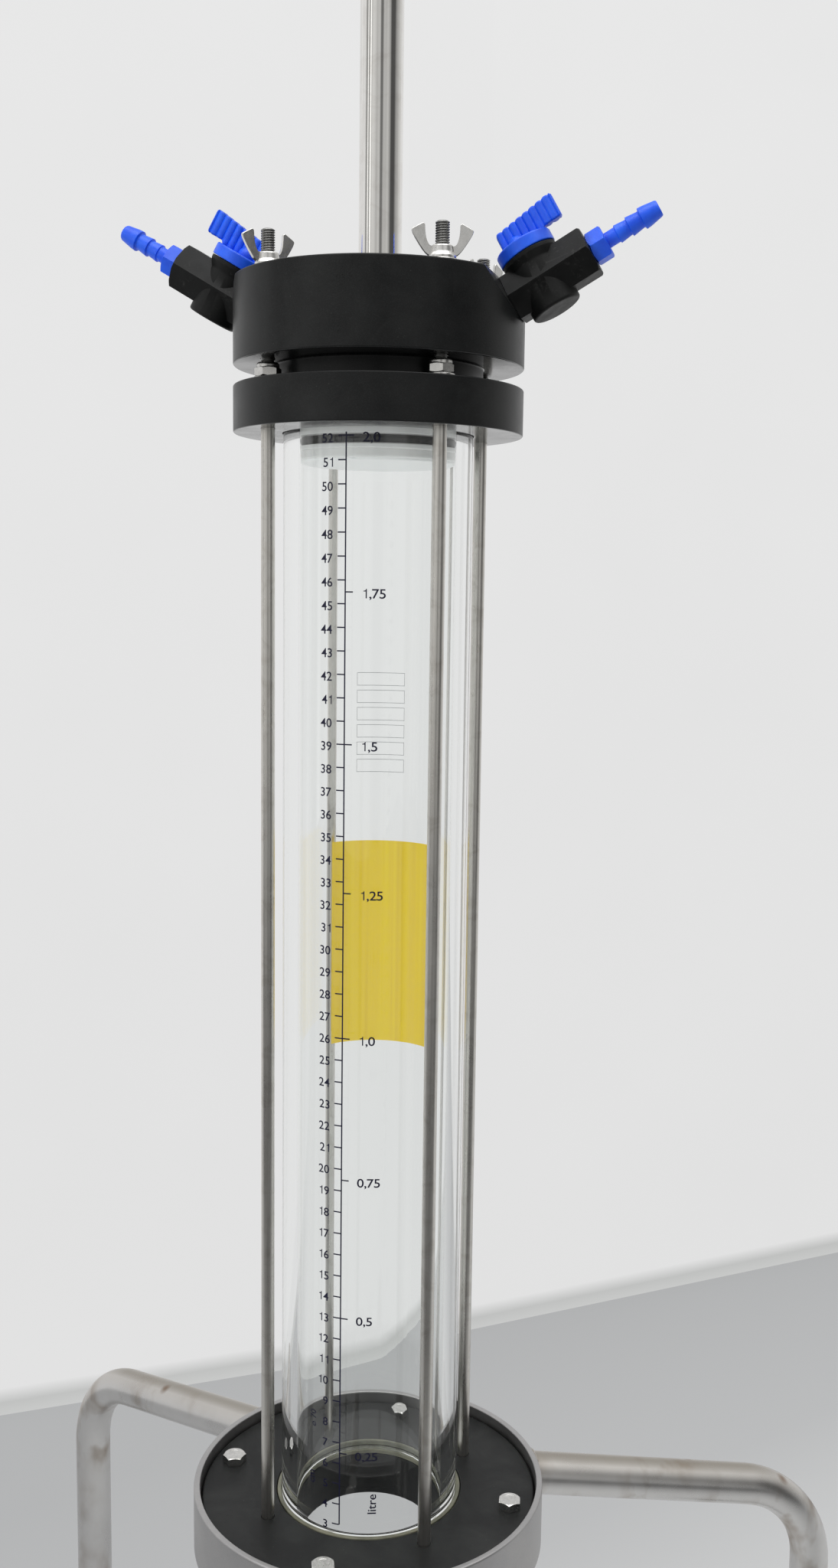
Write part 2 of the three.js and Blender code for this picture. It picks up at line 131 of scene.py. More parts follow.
# --------------------------------------------------------------------- solids
# A solid is a pair: an array of points and a list of faces.
def placed(solid, matrix):
    points = np.asarray(solid[0], float)
    moved = np.c_[points, np.ones(len(points))] @ np.array(matrix, float).T
    return moved[:, :3], solid[1]


def shifted(solid, dx, dy=0.0):
    return solid[0] + np.array([dx, dy, 0]), solid[1]


def oriented(points, faces):
    """Turn all faces over if the closed mesh encloses a negative volume."""
    volume = 0.0
    for face in faces:
        first = points[face[0]]
        for i in range(1, len(face) - 1):
            normal = np.cross(points[face[i]], points[face[i + 1]])
            volume += float(np.dot(first, normal))
    if volume < 0:
        faces = [list(reversed(face)) for face in faces]
    return points, faces


def rounded(outline, steps, support):
    """Round the corners of an outline of (r, z, rounding radius) points.

    An outline that starts on the axis is open, any other is closed. Support points keep
    the shading flat beside each arc.
    """
    corners = [np.array(point[:2], float) for point in outline]
    count = len(corners)
    is_open = outline[0][0] == 0
    result = []
    for i, corner in enumerate(corners):
        if is_open and i in (0, count - 1):
            result.append(corner)
            continue
        back, ahead = corners[i - 1] - corner, corners[(i + 1) % count] - corner
        back_len, ahead_len = np.linalg.norm(back), np.linalg.norm(ahead)
        back, ahead = back / back_len, ahead / ahead_len
        angle = math.acos(np.clip(back @ ahead, -1, 1))
        radius = outline[i][2]
        if radius <= 0 or angle > math.radians(176):
            result.append(corner)
            continue
        trim = min(radius / math.tan(angle / 2), 0.46 * back_len, 0.46 * ahead_len)
        radius = trim * math.tan(angle / 2)
        bisector = (back + ahead) / np.linalg.norm(back + ahead)
        centre = corner + bisector * (radius / math.sin(angle / 2))
        start, end = corner + back * trim, corner + ahead * trim
        margin = min(support, 0.3 * (back_len - trim), 0.3 * (ahead_len - trim))
        if margin > 0.02:
            result.append(start + back * margin)
        spoke0, spoke1 = start - centre, end - centre
        lengths = np.linalg.norm(spoke0) * np.linalg.norm(spoke1)
        sweep = math.acos(np.clip(spoke0 @ spoke1 / lengths, -1, 1))
        for k in range(steps + 1):
            part = k / steps
            spoke = math.sin((1 - part) * sweep) * spoke0 + math.sin(part * sweep) * spoke1
            result.append(centre + spoke / math.sin(sweep))
        if margin > 0.02:
            result.append(end + ahead * margin)
    return [(float(r), float(z)) for r, z in result]


def lathe(profile, segments):
    """Revolve (r, z) points about Z; a profile starting on the axis also ends there."""
    points, faces, rows = [], [], []
    for r, z in profile:
        if r < 1e-6:
            rows.append([len(points)] * segments)
            points.append((0.0, 0.0, z))
        else:
            rows.append(list(range(len(points), len(points) + segments)))
            points += ring_points(r, z, segments)
    if profile[0][0] > 0:
        rows.append(rows[0])
    for row, following in zip(rows, rows[1:]):
        for j in range(segments):
            k = (j + 1) % segments
            quad = (row[j], row[k], following[k], following[j])
            faces.append(list(dict.fromkeys(quad)))     # triangles at the axis
    return oriented(np.array(points), faces)


def ring_points(radius, z, count):
    angles = [2 * math.pi * j / count for j in range(count)]
    return [(radius * math.cos(angle), radius * math.sin(angle), z) for angle in angles]


def turned(outline, segments, steps=4, support=0.35):
    """Revolve an outline of (r, z, rounding radius) points."""
    return lathe(rounded(outline, steps, support), segments)


def cylinder(radius, z0, z1, segments=32):
    return lathe([(0, z0), (radius, z0), (radius, z1), (0, z1)], segments)


def prism(polygon, z0, z1):
    n = len(polygon)
    points = [(x, y, z) for z in (z0, z1) for x, y in polygon]
    faces = [list(range(n))[::-1], list(range(n, 2 * n))]
    faces += [[i, (i + 1) % n, n + (i + 1) % n, n + i] for i in range(n)]
    return oriented(np.array(points, float), faces)


def hex_bar(flats, phase, z0, z1, envelope, segments):
    """Hexagonal bar, its corners cut to a turned envelope; phase in degrees."""
    polygon = [on_circle(flats / math.sqrt(3), phase + 30 + i * 60) for i in range(6)]
    return boolean(prism(polygon, z0, z1), [lathe(envelope, segments)], "INTERSECT")


def smooth_loop(points, steps):
    """Closed Catmull-Rom curve through 2-D points."""
    points = np.array(points, float)
    count = len(points)
    curve = []
    for i in range(count):
        before, here = points[i - 1], points[i]
        after, last = points[(i + 1) % count], points[(i + 2) % count]
        for k in range(steps):
            t = k / steps
            curve.append(0.5 * (
                2 * here + (after - before) * t
                + (2 * before - 5 * here + 4 * after - last) * t * t
                + (3 * here - before - 3 * after + last) * t ** 3))
    return curve


def loft(rings, wrap=False):
    """Join rings of equal point count; wrap joins last to first instead of capping."""
    n, count = len(rings[0]), len(rings)
    points = np.concatenate([np.array(ring, float) for ring in rings])
    faces = []
    for i in range(count if wrap else count - 1):
        a, b = i * n, (i + 1) % count * n
        for j in range(n):
            k = (j + 1) % n
            faces.append([a + j, a + k, b + k, b + j])
    if not wrap:
        faces.append(list(range(n))[::-1])
        faces.append(list(range((count - 1) * n, count * n)))
    return oriented(points, faces)


def join(solids):
    points, faces, offset = [], [], 0
    for part_points, part_faces in solids:
        points.append(np.asarray(part_points, float))
        faces += [[i + offset for i in face] for face in part_faces]
        offset += len(part_points)
    return np.concatenate(points), faces


def add_object(name, points, faces):
    mesh = bpy.data.meshes.new(name)
    mesh.from_pydata(np.asarray(points, float).tolist(), [], [list(face) for face in faces])
    mesh.validate()
    ob = bpy.data.objects.new(name, mesh)
    bpy.context.scene.collection.objects.link(ob)
    return ob


def discard(ob):
    mesh = ob.data
    bpy.data.objects.remove(ob)
    bpy.data.meshes.remove(mesh)


def harvest(ob):
    """The solid a temporary object's modifiers make; the object is removed."""
    evaluated = ob.evaluated_get(bpy.context.evaluated_depsgraph_get())
    mesh = bpy.data.meshes.new_from_object(evaluated)
    points = np.array([vertex.co[:] for vertex in mesh.vertices], float)
    faces = [list(polygon.vertices) for polygon in mesh.polygons]
    bpy.data.meshes.remove(mesh)
    discard(ob)
    return points, faces


def boolean(solid, tools, operation="DIFFERENCE"):
    ob = add_object("solid", *solid)
    tool_objects = []
    for tool in tools:
        tool_object = add_object("tool", *tool)
        tool_objects.append(tool_object)
        modifier = ob.modifiers.new("boolean", "BOOLEAN")
        modifier.operation = operation
        modifier.solver = "EXACT"
        modifier.object = tool_object
    result = harvest(ob)
    for tool_object in tool_objects:
        discard(tool_object)
    return result


def bevel(solid, width, segments=2, angle=30):
    ob = add_object("solid", *solid)
    weld = ob.modifiers.new("weld", "WELD")
    weld.merge_threshold = 0.004
    modifier = ob.modifiers.new("bevel", "BEVEL")
    modifier.width = width
    modifier.segments = segments
    modifier.limit_method = "ANGLE"
    modifier.angle_limit = math.radians(angle)
    modifier.use_clamp_overlap = True
    return harvest(ob)


def holes(solid, radius, z0, z1, circle, azimuth):
    """Drill four evenly spaced holes on a circle, the first at the azimuth."""
    drill = cylinder(radius, z0, z1)
    spots = [on_circle(circle, azimuth + 90 * i) for i in range(4)]
    return boolean(solid, [shifted(drill, x, y) for x, y in spots])


def piece(name, solid, finish, replaces=None, at=Matrix.Identity(4), body="column",
          smooth=32, weighted=True):
    """Add a finished object; smooth is the sharp-edge angle in degrees, 0 for flat."""
    points, faces = placed(solid, at)
    ob = add_object(name, (points + ORIGIN) / 1000.0, faces)
    mesh = ob.data
    mesh.polygons.foreach_set("use_smooth", [bool(smooth)] * len(mesh.polygons))
    if smooth:
        mesh.set_sharp_from_angle(angle=math.radians(smooth))
    mesh.materials.append(FINISHES[finish])
    if weighted and smooth:
        modifier = ob.modifiers.new("normals", "WEIGHTED_NORMAL")
        modifier.keep_sharp = True
        modifier.weight = 60
    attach(ob, body)
    if replaces:
        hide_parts(replaces)
    return ob


# ------------------------------------------------------------------ node trees
def rgba(colour):
    if isinstance(colour, (int, float)):
        return (colour, colour, colour, 1)
    return (*colour, 1)


def srgb(*levels):
    """Linear colour from 0-255 sRGB levels."""
    def linear(level):
        level /= 255
        return level / 12.92 if level <= 0.04045 else ((level + 0.055) / 1.055) ** 2.4
    return tuple(linear(level) for level in levels)


class Nodes:
    """Writes a node tree as expressions; values are numbers, colours or sockets."""

    def __init__(self, owner, coords="Object", output="OutputMaterial"):
        self.owner = owner
        owner.use_nodes = True
        self.tree = owner.node_tree
        self.tree.nodes.clear()
        self.output = self.node(output)
        self.coords = self.node("TexCoord").outputs[coords]

    def node(self, kind, *inputs, props=(), **named):
        """Unnamed inputs fill the sockets in order; names have _ for a space."""
        node = self.tree.nodes.new("ShaderNode" + kind)
        for key, value in dict(props).items():
            setattr(node, key, value)
        for i, value in enumerate(inputs):
            self.put(node.inputs[i], value)
        for key, value in named.items():
            self.put(node.inputs[key.replace("_", " ")], value)
        return node

    def out(self, kind, *inputs, **named):
        """The first output of a new node."""
        return self.node(kind, *inputs, **named).outputs[0]

    def put(self, socket, value):
        """Link or set a socket; None leaves it as it is."""
        if value is None:
            return
        if isinstance(value, bpy.types.NodeSocket):
            self.tree.links.new(value, socket)
        elif socket.type == "RGBA":
            socket.default_value = rgba(value)
        else:
            socket.default_value = value

    def math(self, operation, a, b=0.0, clamp=False):
        return self.out("Math", a, b, props={"operation": operation, "use_clamp": clamp})

    def add(self, a, b):
        return self.math("ADD", a, b)

    def sub(self, a, b):
        return self.math("SUBTRACT", a, b)

    def mul(self, a, b, clamp=False):
        return self.math("MULTIPLY", a, b, clamp)

    def stretched(self, z_scale):
        """Object coordinates with z scaled."""
        return self.out("Mapping", Vector=self.coords, Scale=(1, 1, z_scale))

    def noise(self, scale, detail=3.0, rough=0.55, vector=None, distort=0.0):
        if vector is None:
            vector = self.coords
        return self.out("TexNoise", Vector=vector, Scale=scale, Detail=detail,
                        Roughness=rough, Distortion=distort)

    def voronoi(self, scale, vector=None):
        if vector is None:
            vector = self.coords
        return self.out("TexVoronoi", Vector=vector, Scale=scale)

    def ramp(self, factor, stops):
        """Colour ramp from (position, colour) stops."""
        node = self.node("ValToRGB", factor)
        elements = node.color_ramp.elements
        while len(elements) > 1:
            elements.remove(elements[-1])
        elements[0].position, elements[0].color = stops[0][0], rgba(stops[0][1])
        for position, colour in stops[1:]:
            elements.new(position).color = rgba(colour)
        return node.outputs[0]

    def remap(self, value, span=(0.3, 0.7), to=(0.0, 1.0)):
        """Clamped linear map from one range to another."""
        return self.out("MapRange", value, *span, *to, props={"clamp": True})

    def mix(self, factor, a, b, blend="MIX"):
        node = self.node("Mix", props={"data_type": "RGBA", "blend_type": blend})
        for i, value in ((0, factor), (6, a), (7, b)):
            self.put(node.inputs[i], value)
        return node.outputs[2]

    def bump(self, height, strength, distance, normal=None):
        """Bump with its distance in metres, on top of another normal if given."""
        return self.out("Bump", Strength=strength, Distance=distance, Height=height,
                        Normal=normal)

    def xyz(self, vector=None):
        return self.out_all("SeparateXYZ", self.coords if vector is None else vector)

    def out_all(self, kind, *inputs):
        return self.node(kind, *inputs).outputs

    def geometry(self, output):
        return self.out_all("NewGeometry")[output]

    def normal_z(self):
        return self.xyz(self.geometry("Normal"))[2]

    def radius(self):
        """Distance from the column axis, in metres."""
        x, y, _ = self.xyz()
        dx, dy = self.sub(x, AXIS_X), self.sub(y, AXIS_Y)
        return self.math("SQRT", self.add(self.mul(dx, dx), self.mul(dy, dy)))

    def around(self, angle_scale, height_scale):
        """Texture vector running round the column axis and up it."""
        x, y, z = self.xyz()
        angle = self.math("ARCTAN2", self.sub(y, AXIS_Y), self.sub(x, AXIS_X))
        return self.out("CombineXYZ", self.mul(angle, angle_scale),
                        self.mul(z, height_scale), 0.0)

    def principled(self, **named):
        return self.out("BsdfPrincipled", **named)

    def finish(self, shader):
        self.put(self.output.inputs["Surface"], shader)
        return self.owner


def material(name):
    return Nodes(bpy.data.materials.new(name))


# ------------------------------------------------------------------- materials
def black_plastic(name, dust, rough):
    """Turned black polymer: concentric tool marks, fine mottling and a little dust."""
    mat = material(name)
    radius = mat.radius()
    z = mat.xyz()[2]
    marks = 2600.0      # tool marks per metre, outward and upward
    grooves = mat.out("CombineXYZ", mat.mul(radius, marks), mat.mul(z, marks), 0.0)
    tool = mat.noise(scale=1.0, detail=2.0, rough=0.5, vector=grooves)
    cloud = mat.noise(scale=55.0, detail=4.0, rough=0.6)
    grain = mat.noise(scale=2400.0, detail=2.0, rough=0.6)
    base = mat.ramp(cloud, [(0.30, (0.0045, 0.0048, 0.0050)),
                            (0.62, (0.0075, 0.0079, 0.0081)),
                            (0.8, (0.011, 0.0115, 0.0117))])
    mottle = mat.remap(grain, span=(0.45, 0.75), to=(0.0, 0.55))
    base = mat.mix(mottle, base, (0.019, 0.020, 0.0205))
    roughness = mat.remap(mat.add(mat.mul(cloud, 0.6), mat.mul(grain, 0.4)),
                          to=(rough - 0.07, rough + 0.08))
    spots = mat.voronoi(scale=420.0)
    specks = mat.mul(mat.remap(spots, span=(0.0, 0.13), to=(1.0, 0.0)),
                     mat.remap(mat.noise(scale=90.0, detail=2.0), span=(0.52, 0.66)))
    film = mat.remap(mat.noise(scale=38.0, detail=5.0, rough=0.65, distort=0.6),
                     span=(0.42, 0.75), to=(0.0, 0.55))
    cover = mat.mul(mat.add(mat.mul(specks, 2.2), mat.mul(film, 0.8)), dust, clamp=True)
    base = mat.mix(cover, base, (0.115, 0.118, 0.112))
    roughness = mat.add(roughness, mat.mul(cover, 0.25))
    normal = mat.bump(tool, strength=0.10, distance=0.00008)
    normal = mat.bump(grain, strength=0.22, distance=0.00006, normal=normal)
    # undersides are glossier
    under = mat.remap(mat.normal_z(), span=(-0.9, -0.5), to=(1.0, 0.0))
    roughness = mat.sub(roughness, mat.mul(under, 0.16))
    specular = mat.remap(under, span=(0.0, 1.0), to=(0.22, 0.85))
    return mat.finish(mat.principled(Base_Color=base, Roughness=roughness, Normal=normal,
                                     Specular_IOR_Level=specular))


def valve_plastic(name):
    """Injection moulded black polymer with pale scuffs on its corners."""
    mat = material(name)
    cloud = mat.noise(scale=160.0, detail=4.0, rough=0.6)
    fine = mat.noise(scale=1500.0, detail=2.0)
    scratches = mat.noise(scale=420.0, detail=5.0, rough=0.7, distort=1.5)
    scuff = mat.mul(mat.remap(scratches, span=(0.56, 0.72)),
                    mat.remap(mat.noise(scale=70.0, detail=2.0),
                              span=(0.45, 0.6), to=(0.0, 0.55)))
    base = mat.ramp(cloud, [(0.3, (0.0035, 0.0038, 0.0038)), (0.7, (0.0065, 0.0068, 0.0067))])
    edge = mat.remap(mat.geometry("Pointiness"), span=(0.52, 0.60), to=(0.0, 0.5))
    base = mat.mix(edge, base, (0.025, 0.025, 0.0245))
    base = mat.mix(scuff, base, (0.05, 0.05, 0.047))
    roughness = mat.remap(cloud, to=(0.42, 0.56))
    normal = mat.bump(fine, strength=0.25, distance=0.00008)
    normal = mat.bump(cloud, strength=0.2, distance=0.0002, normal=normal)
    return mat.finish(mat.principled(Base_Color=base, Roughness=roughness, Normal=normal,
                                     Specular_IOR_Level=0.24))


def blue_plastic(name):
    """Injection moulded blue polymer, slightly translucent."""
    mat = material(name)
    cloud = mat.noise(scale=140.0)
    fine = mat.noise(scale=1700.0, detail=2.0)
    base = mat.ramp(cloud, [(0.3, srgb(14, 78, 222)), (0.7, srgb(28, 98, 240))])
    normal = mat.bump(fine, strength=0.18, distance=0.00006)
    normal = mat.bump(cloud, strength=0.25, distance=0.00025, normal=normal)
    return mat.finish(mat.principled(
        Base_Color=base, Roughness=mat.remap(fine, to=(0.34, 0.46)), Normal=normal,
        Subsurface_Weight=0.12, Subsurface_Radius=(0.0005, 0.0008, 0.002),
        Subsurface_Scale=1.0))


def metal(name, colour, rough, stretch=1, streaks=900.0, dirt=0.0,
          dirt_colour=None, bump=0.08, spread=0.06):
    """Steel: brushed (stretch below 1 draws the streaks out along z), unevenly polished
    by the spread in roughness, with an optional film of dirt."""
    mat = material(name)
    lines = mat.noise(scale=streaks, rough=0.6, vector=mat.stretched(stretch))
    cloud = mat.noise(scale=60.0, detail=4.0, rough=0.6)
    pits = mat.noise(scale=2600.0, detail=1.0)
    base = mat.mix(mat.remap(lines), tuple(0.82 * level for level in colour), colour)
    if dirt:
        film = mat.noise(scale=95.0, detail=5.0, rough=0.62, distort=0.8)
        cover = mat.mul(mat.remap(film, span=(0.50, 0.68)), dirt)
        base = mat.mix(cover, base, dirt_colour)
    roughness = mat.remap(mat.add(mat.mul(lines, 0.5), mat.mul(cloud, 0.5)),
                          to=(rough - spread, rough + spread))
    normal = mat.bump(lines, strength=bump, distance=0.00005)
    normal = mat.bump(pits, strength=bump * 0.8, distance=0.00003, normal=normal)
    return mat.finish(mat.principled(Base_Color=base, Metallic=1.0, Roughness=roughness,
                                     Normal=normal))


def stand_metal(name):
    """Satin stainless tube with painted light on its upper side (a warm highlight tint, and
    painted shade where it faces straight up) and brown stains, strongest below.
    """
    mat = material(name)
    cloud = mat.noise(scale=24.0, detail=4.0)
    fine = mat.noise(scale=1400.0, detail=2.0)
    patch = mat.remap(mat.noise(scale=17.0, detail=2.0), span=(0.42, 0.60))
    blots = mat.noise(scale=62.0, rough=0.5, vector=mat.stretched(0.6))
    stain = mat.mul(mat.remap(blots, span=(0.49, 0.70)), patch)
    drops = mat.remap(mat.voronoi(scale=55.0, vector=mat.stretched(0.6)),
                      span=(0.05, 0.20), to=(1.0, 0.0))
    drops = mat.mul(drops, mat.remap(mat.noise(scale=26.0, detail=2.0), span=(0.50, 0.62)))
    up = mat.normal_z()
    low = mat.remap(up, span=(-0.3, 0.7), to=(0.90, 0.50))
    base = mat.ramp(cloud, [(0.3, (0.55, 0.54, 0.53)), (0.55, (0.63, 0.62, 0.61)),
                            (0.8, (0.58, 0.565, 0.545))])
    # painted highlight: faces slanting upwards are tinted warm, the colour of the highlight
    # band that falls on them
    base = mat.mix(mat.remap(up, span=(0.30, 0.75), to=(0.0, 0.4)), base, (0.60, 0.555, 0.50))
    # painted shade: faces pointing straight up are darkened brown, standing in for the dark
    # room they reflect
    base = mat.mix(mat.remap(up, span=(0.80, 0.99), to=(0.0, 0.85)), base, (0.31, 0.28, 0.235))
    base = mat.mix(mat.mul(stain, low), base, (0.22, 0.155, 0.095))
    base = mat.mix(mat.mul(drops, 0.75), base, (0.20, 0.12, 0.07))
    roughness = mat.remap(mat.add(mat.mul(cloud, 0.85), mat.mul(stain, 0.15)),
                          span=(0.2, 0.8), to=(0.22, 0.42))
    normal = mat.bump(fine, strength=0.22, distance=0.00008)
    normal = mat.bump(cloud, strength=0.15, distance=0.0004, normal=normal)
    return mat.finish(mat.principled(Base_Color=base, Metallic=1.0, Roughness=roughness,
                                     Normal=normal))


def ring_metal(name):
    """Blasted stainless ring, greyer and more even than the legs."""
    mat = material(name)
    cloud = mat.noise(scale=30.0, detail=4.0, rough=0.6)
    grain = mat.noise(scale=3000.0, detail=2.0, rough=0.7)
    base = mat.ramp(cloud, [(0.3, (0.40, 0.395, 0.40)), (0.7, (0.50, 0.49, 0.485))])
    speckle = mat.remap(grain, span=(0.4, 0.75), to=(0.0, 0.35))
    base = mat.mix(speckle, base, (0.27, 0.265, 0.26))
    normal = mat.bump(grain, strength=0.35, distance=0.00008)
    return mat.finish(mat.principled(Base_Color=base, Metallic=1.0, Normal=normal,
                                     Roughness=mat.remap(cloud, to=(0.36, 0.46))))


def glass(name):
    """Clear borosilicate: refracting to the eye, plain clear to shadow and diffuse rays."""
    mat = material(name)
    draw = mat.noise(scale=1.0, detail=2.0, rough=0.5,
                     vector=mat.around(angle_scale=9.0, height_scale=2.5))
    normal = mat.bump(draw, strength=0.10, distance=0.00012)
    smear = mat.noise(scale=30.0, detail=5.0, rough=0.65, vector=mat.stretched(0.35),
                      distort=0.8)
    roughness = mat.remap(smear, span=(0.55, 0.8), to=(0.0, 0.05))
    refracting = mat.principled(Base_Color=(0.985, 0.995, 0.990), Roughness=roughness,
                                Normal=normal, Transmission_Weight=1.0, IOR=1.473)
    clear = mat.out("BsdfTransparent", Color=(0.93, 0.945, 0.94))
    rays = mat.out_all("LightPath")
    is_light = mat.math("MAXIMUM", rays["Is Shadow Ray"], rays["Is Diffuse Ray"])
    return mat.finish(mat.out("MixShader", is_light, refracting, clear))


def soft_plastic(name, dark, light, rough, subsurface, glow=0.0):
    """Pale translucent polymer, optionally lifted by a little painted glow that stands in for
    light reaching it through the glass.
    """
    mat = material(name)
    cloud = mat.noise(scale=80.0)
    fine = mat.noise(scale=1800.0, detail=2.0)
    stops = [(0.3, dark), (0.7, light)]
    look = dict(Base_Color=mat.ramp(cloud, stops),
                Roughness=mat.remap(fine, to=(rough - 0.06, rough + 0.06)),
                Normal=mat.bump(fine, strength=0.15, distance=0.00006),
                Subsurface_Weight=subsurface, Subsurface_Scale=1.0,
                Subsurface_Radius=(0.002, 0.002, 0.0018))
    # painted light: the glow brightens the polymer though it is no lamp
    if glow:
        look.update(Emission_Color=mat.ramp(cloud, stops), Emission_Strength=glow)
    return mat.finish(mat.principled(**look))


def rubber(name, grey, rough):
    """Black rubber, mottled paler in places."""
    mat = material(name)
    cloud = mat.noise(scale=120.0, detail=4.0, rough=0.6)
    fine = mat.noise(scale=1300.0, rough=0.65)
    base = mat.mix(mat.remap(cloud, span=(0.4, 0.75), to=(0.0, 0.5)),
                   (grey,) * 3, (2.6 * grey,) * 3)
    return mat.finish(mat.principled(
        Base_Color=base, Roughness=mat.remap(fine, to=(rough - 0.1, rough + 0.12)),
        Normal=mat.bump(fine, strength=0.4, distance=0.0001)))


def ink(name, colour):
    """Printing ink, worn paler in places."""
    mat = material(name)
    wear = mat.noise(scale=900.0, detail=4.0, rough=0.7)
    base = mat.mix(mat.remap(wear, span=(0.35, 0.75), to=(0.0, 0.35)),
                   colour, tuple(3.0 * level for level in colour))
    return mat.finish(mat.principled(Base_Color=base, Roughness=0.5))


def label_film(name):
    """Yellow film with faint upright streaks and a fine grain, lit through, and brightened by
    a painted glow.
    """
    mat = material(name)
    streak = mat.noise(scale=1.0, rough=0.6,
                       vector=mat.around(angle_scale=14.0, height_scale=3.0))
    grain = mat.noise(scale=1500.0, detail=2.0, rough=0.6)
    base = mat.ramp(streak, [(0.3, srgb(212, 188, 0)), (0.5, srgb(218, 196, 0)),
                             (0.72, srgb(221, 202, 0))])
    base = mat.mix(mat.remap(grain, span=(0.45, 0.8), to=(0.0, 0.25)), base, srgb(200, 178, 0))
    surface = mat.principled(Base_Color=base, Roughness=0.45,
                             Normal=mat.bump(grain, strength=0.15, distance=0.00005))
    through = mat.out("BsdfTranslucent", Color=base)
    film = mat.out("MixShader", 0.45, surface, through)
    # painted light: the label glows, standing in for light reaching it through the glass
    glow = mat.out("Emission", Color=base, Strength=0.34)
    return mat.finish(mat.out("AddShader", film, glow))


def net_wire(name):
    """Fine woven wire: crossing threads from two sine waves, brightened by a painted glow."""
    mat = material(name)
    pitch = 0.0006      # metres
    x, y, _ = mat.xyz()
    wave_x, wave_y = (mat.math("SINE", mat.mul(axis, 2 * math.pi / pitch)) for axis in (x, y))
    weave = mat.add(mat.mul(mat.math("ABSOLUTE", wave_x), 0.5),
                    mat.mul(mat.math("ABSOLUTE", wave_y), 0.5))
    base = mat.ramp(weave, [(0.1, (0.66, 0.67, 0.67)), (0.7, (0.85, 0.86, 0.86))])
    # painted light: the wire glows a little, to look brighter, though it is no lamp
    return mat.finish(mat.principled(
        Base_Color=base, Roughness=0.45, Emission_Color=base, Emission_Strength=0.30,
        Normal=mat.bump(weave, strength=0.5, distance=0.0002)))


FINISHES = {
    "lid": black_plastic("black_plastic_turned", dust=0.12, rough=0.33),
    "base": black_plastic("black_plastic_dusty", dust=0.35, rough=0.46),
    "valve": valve_plastic("black_plastic_moulded"),
    "blue": blue_plastic("blue_plastic_moulded"),
    "rod": metal("drawn_steel", (0.72, 0.70, 0.66), rough=0.30, stretch=0.015,
                 dirt=0.25, dirt_colour=(0.26, 0.22, 0.17)),
    "shaft": metal("polished_steel", (0.90, 0.885, 0.86), rough=0.07, stretch=0.01,
                   streaks=700.0, dirt=0.12, dirt_colour=(0.25, 0.18, 0.12),
                   bump=0.05, spread=0.03),
    # threaded lengths: darker steel, partly grime and partly painted shade
    "thread": metal("thread_steel_grime_and_shade", (0.36, 0.36, 0.35), rough=0.34,
                    dirt=0.5, dirt_colour=(0.08, 0.075, 0.07)),
    "bolt": metal("bolt_steel", (0.70, 0.69, 0.67), rough=0.24, streaks=600.0, bump=0.15),
    "wing": metal("cast_steel_polished", (0.86, 0.85, 0.83), rough=0.24, streaks=260.0,
                  dirt=0.2, dirt_colour=(0.3, 0.27, 0.23), bump=0.35),
    "stand": stand_metal("satin_steel_stained"),
    "ring": ring_metal("satin_steel_blasted"),
    "glass": glass("tube_glass"),
    "gasket": soft_plastic("gasket_elastomer", dark=(0.10, 0.10, 0.07),
                           light=(0.19, 0.185, 0.13), rough=0.4, subsurface=0.2),
    # white_polymer carries a painted glow of 0.14 that brightens it
    "white": soft_plastic("white_polymer", dark=(0.72, 0.725, 0.72),
                          light=(0.82, 0.82, 0.81), rough=0.35, subsurface=0.25, glow=0.14),
    "rubber": rubber("seal_rubber", grey=0.012, rough=0.6),
    "foot": rubber("foot_rubber", grey=0.016, rough=0.7),
    "ink": ink("scale_ink", srgb(13, 13, 40)),
    "label": label_film("yellow_label"),
    "net": net_wire("woven_net"),
    "thin": ink("faint_print", srgb(120, 122, 126)),
}


# ----------------------------------------------------------------------- stand
# A leg is drawn towards +X: down the slope, round the bend, straight to the ground.
LEG_DOWN = np.array([math.cos(LEG_SLOPE), 0, -math.sin(LEG_SLOPE)])
LEG_TURN = math.pi / 2 - LEG_SLOPE
LEG_RUN = LEG_REACH - RING_RADIUS
LEG_CORNER = np.array([LEG_REACH, 0, LEG_START_Z - LEG_RUN * math.tan(LEG_SLOPE)])
LEG_START = LEG_CORNER - LEG_DOWN * (LEG_RUN / math.cos(LEG_SLOPE))


def leg_stations():
    """(centre, angle of the cross-section) along a leg."""
    tangent = LEG_BEND * math.tan(LEG_TURN / 2)
    bend_start = LEG_CORNER - LEG_DOWN * tangent
    bend_centre = np.array([LEG_REACH - LEG_BEND, 0, LEG_CORNER[2] - tangent])
    length = np.linalg.norm(bend_start - LEG_START)
    stations = [(LEG_START + LEG_DOWN * length * k / 8, LEG_TURN) for k in range(9)]
    for k in range(1, 17):
        angle = (1 - k / 16) * LEG_TURN
        outward = np.array([math.cos(angle), 0, math.sin(angle)])
        stations.append((bend_centre + LEG_BEND * outward, angle))
    top = stations[-1][0][2]
    end = GROUND + 5.6      # inside the foot cap
    for k in range(1, 6):
        stations.append((np.array([LEG_REACH, 0, top + (end - top) * k / 5]), 0.0))
    return stations


def cross_section(centre, angle, radius, count=48, squash=1.0):
    normal = np.array([math.cos(angle), 0, math.sin(angle)])
    sideways = np.array([0, 1, 0])
    turns = [2 * math.pi * j / count for j in range(count)]
    return [centre + normal * (radius * math.cos(turn) * squash)
            + sideways * (radius * math.sin(turn)) for turn in turns]


def onto_cylinder(point, radius):
    """Slide a point along the leg's slope to a cylinder about the column axis."""
    x = math.sqrt(radius ** 2 - point[1] ** 2)
    return point + LEG_DOWN * ((x - point[0]) / LEG_DOWN[0])


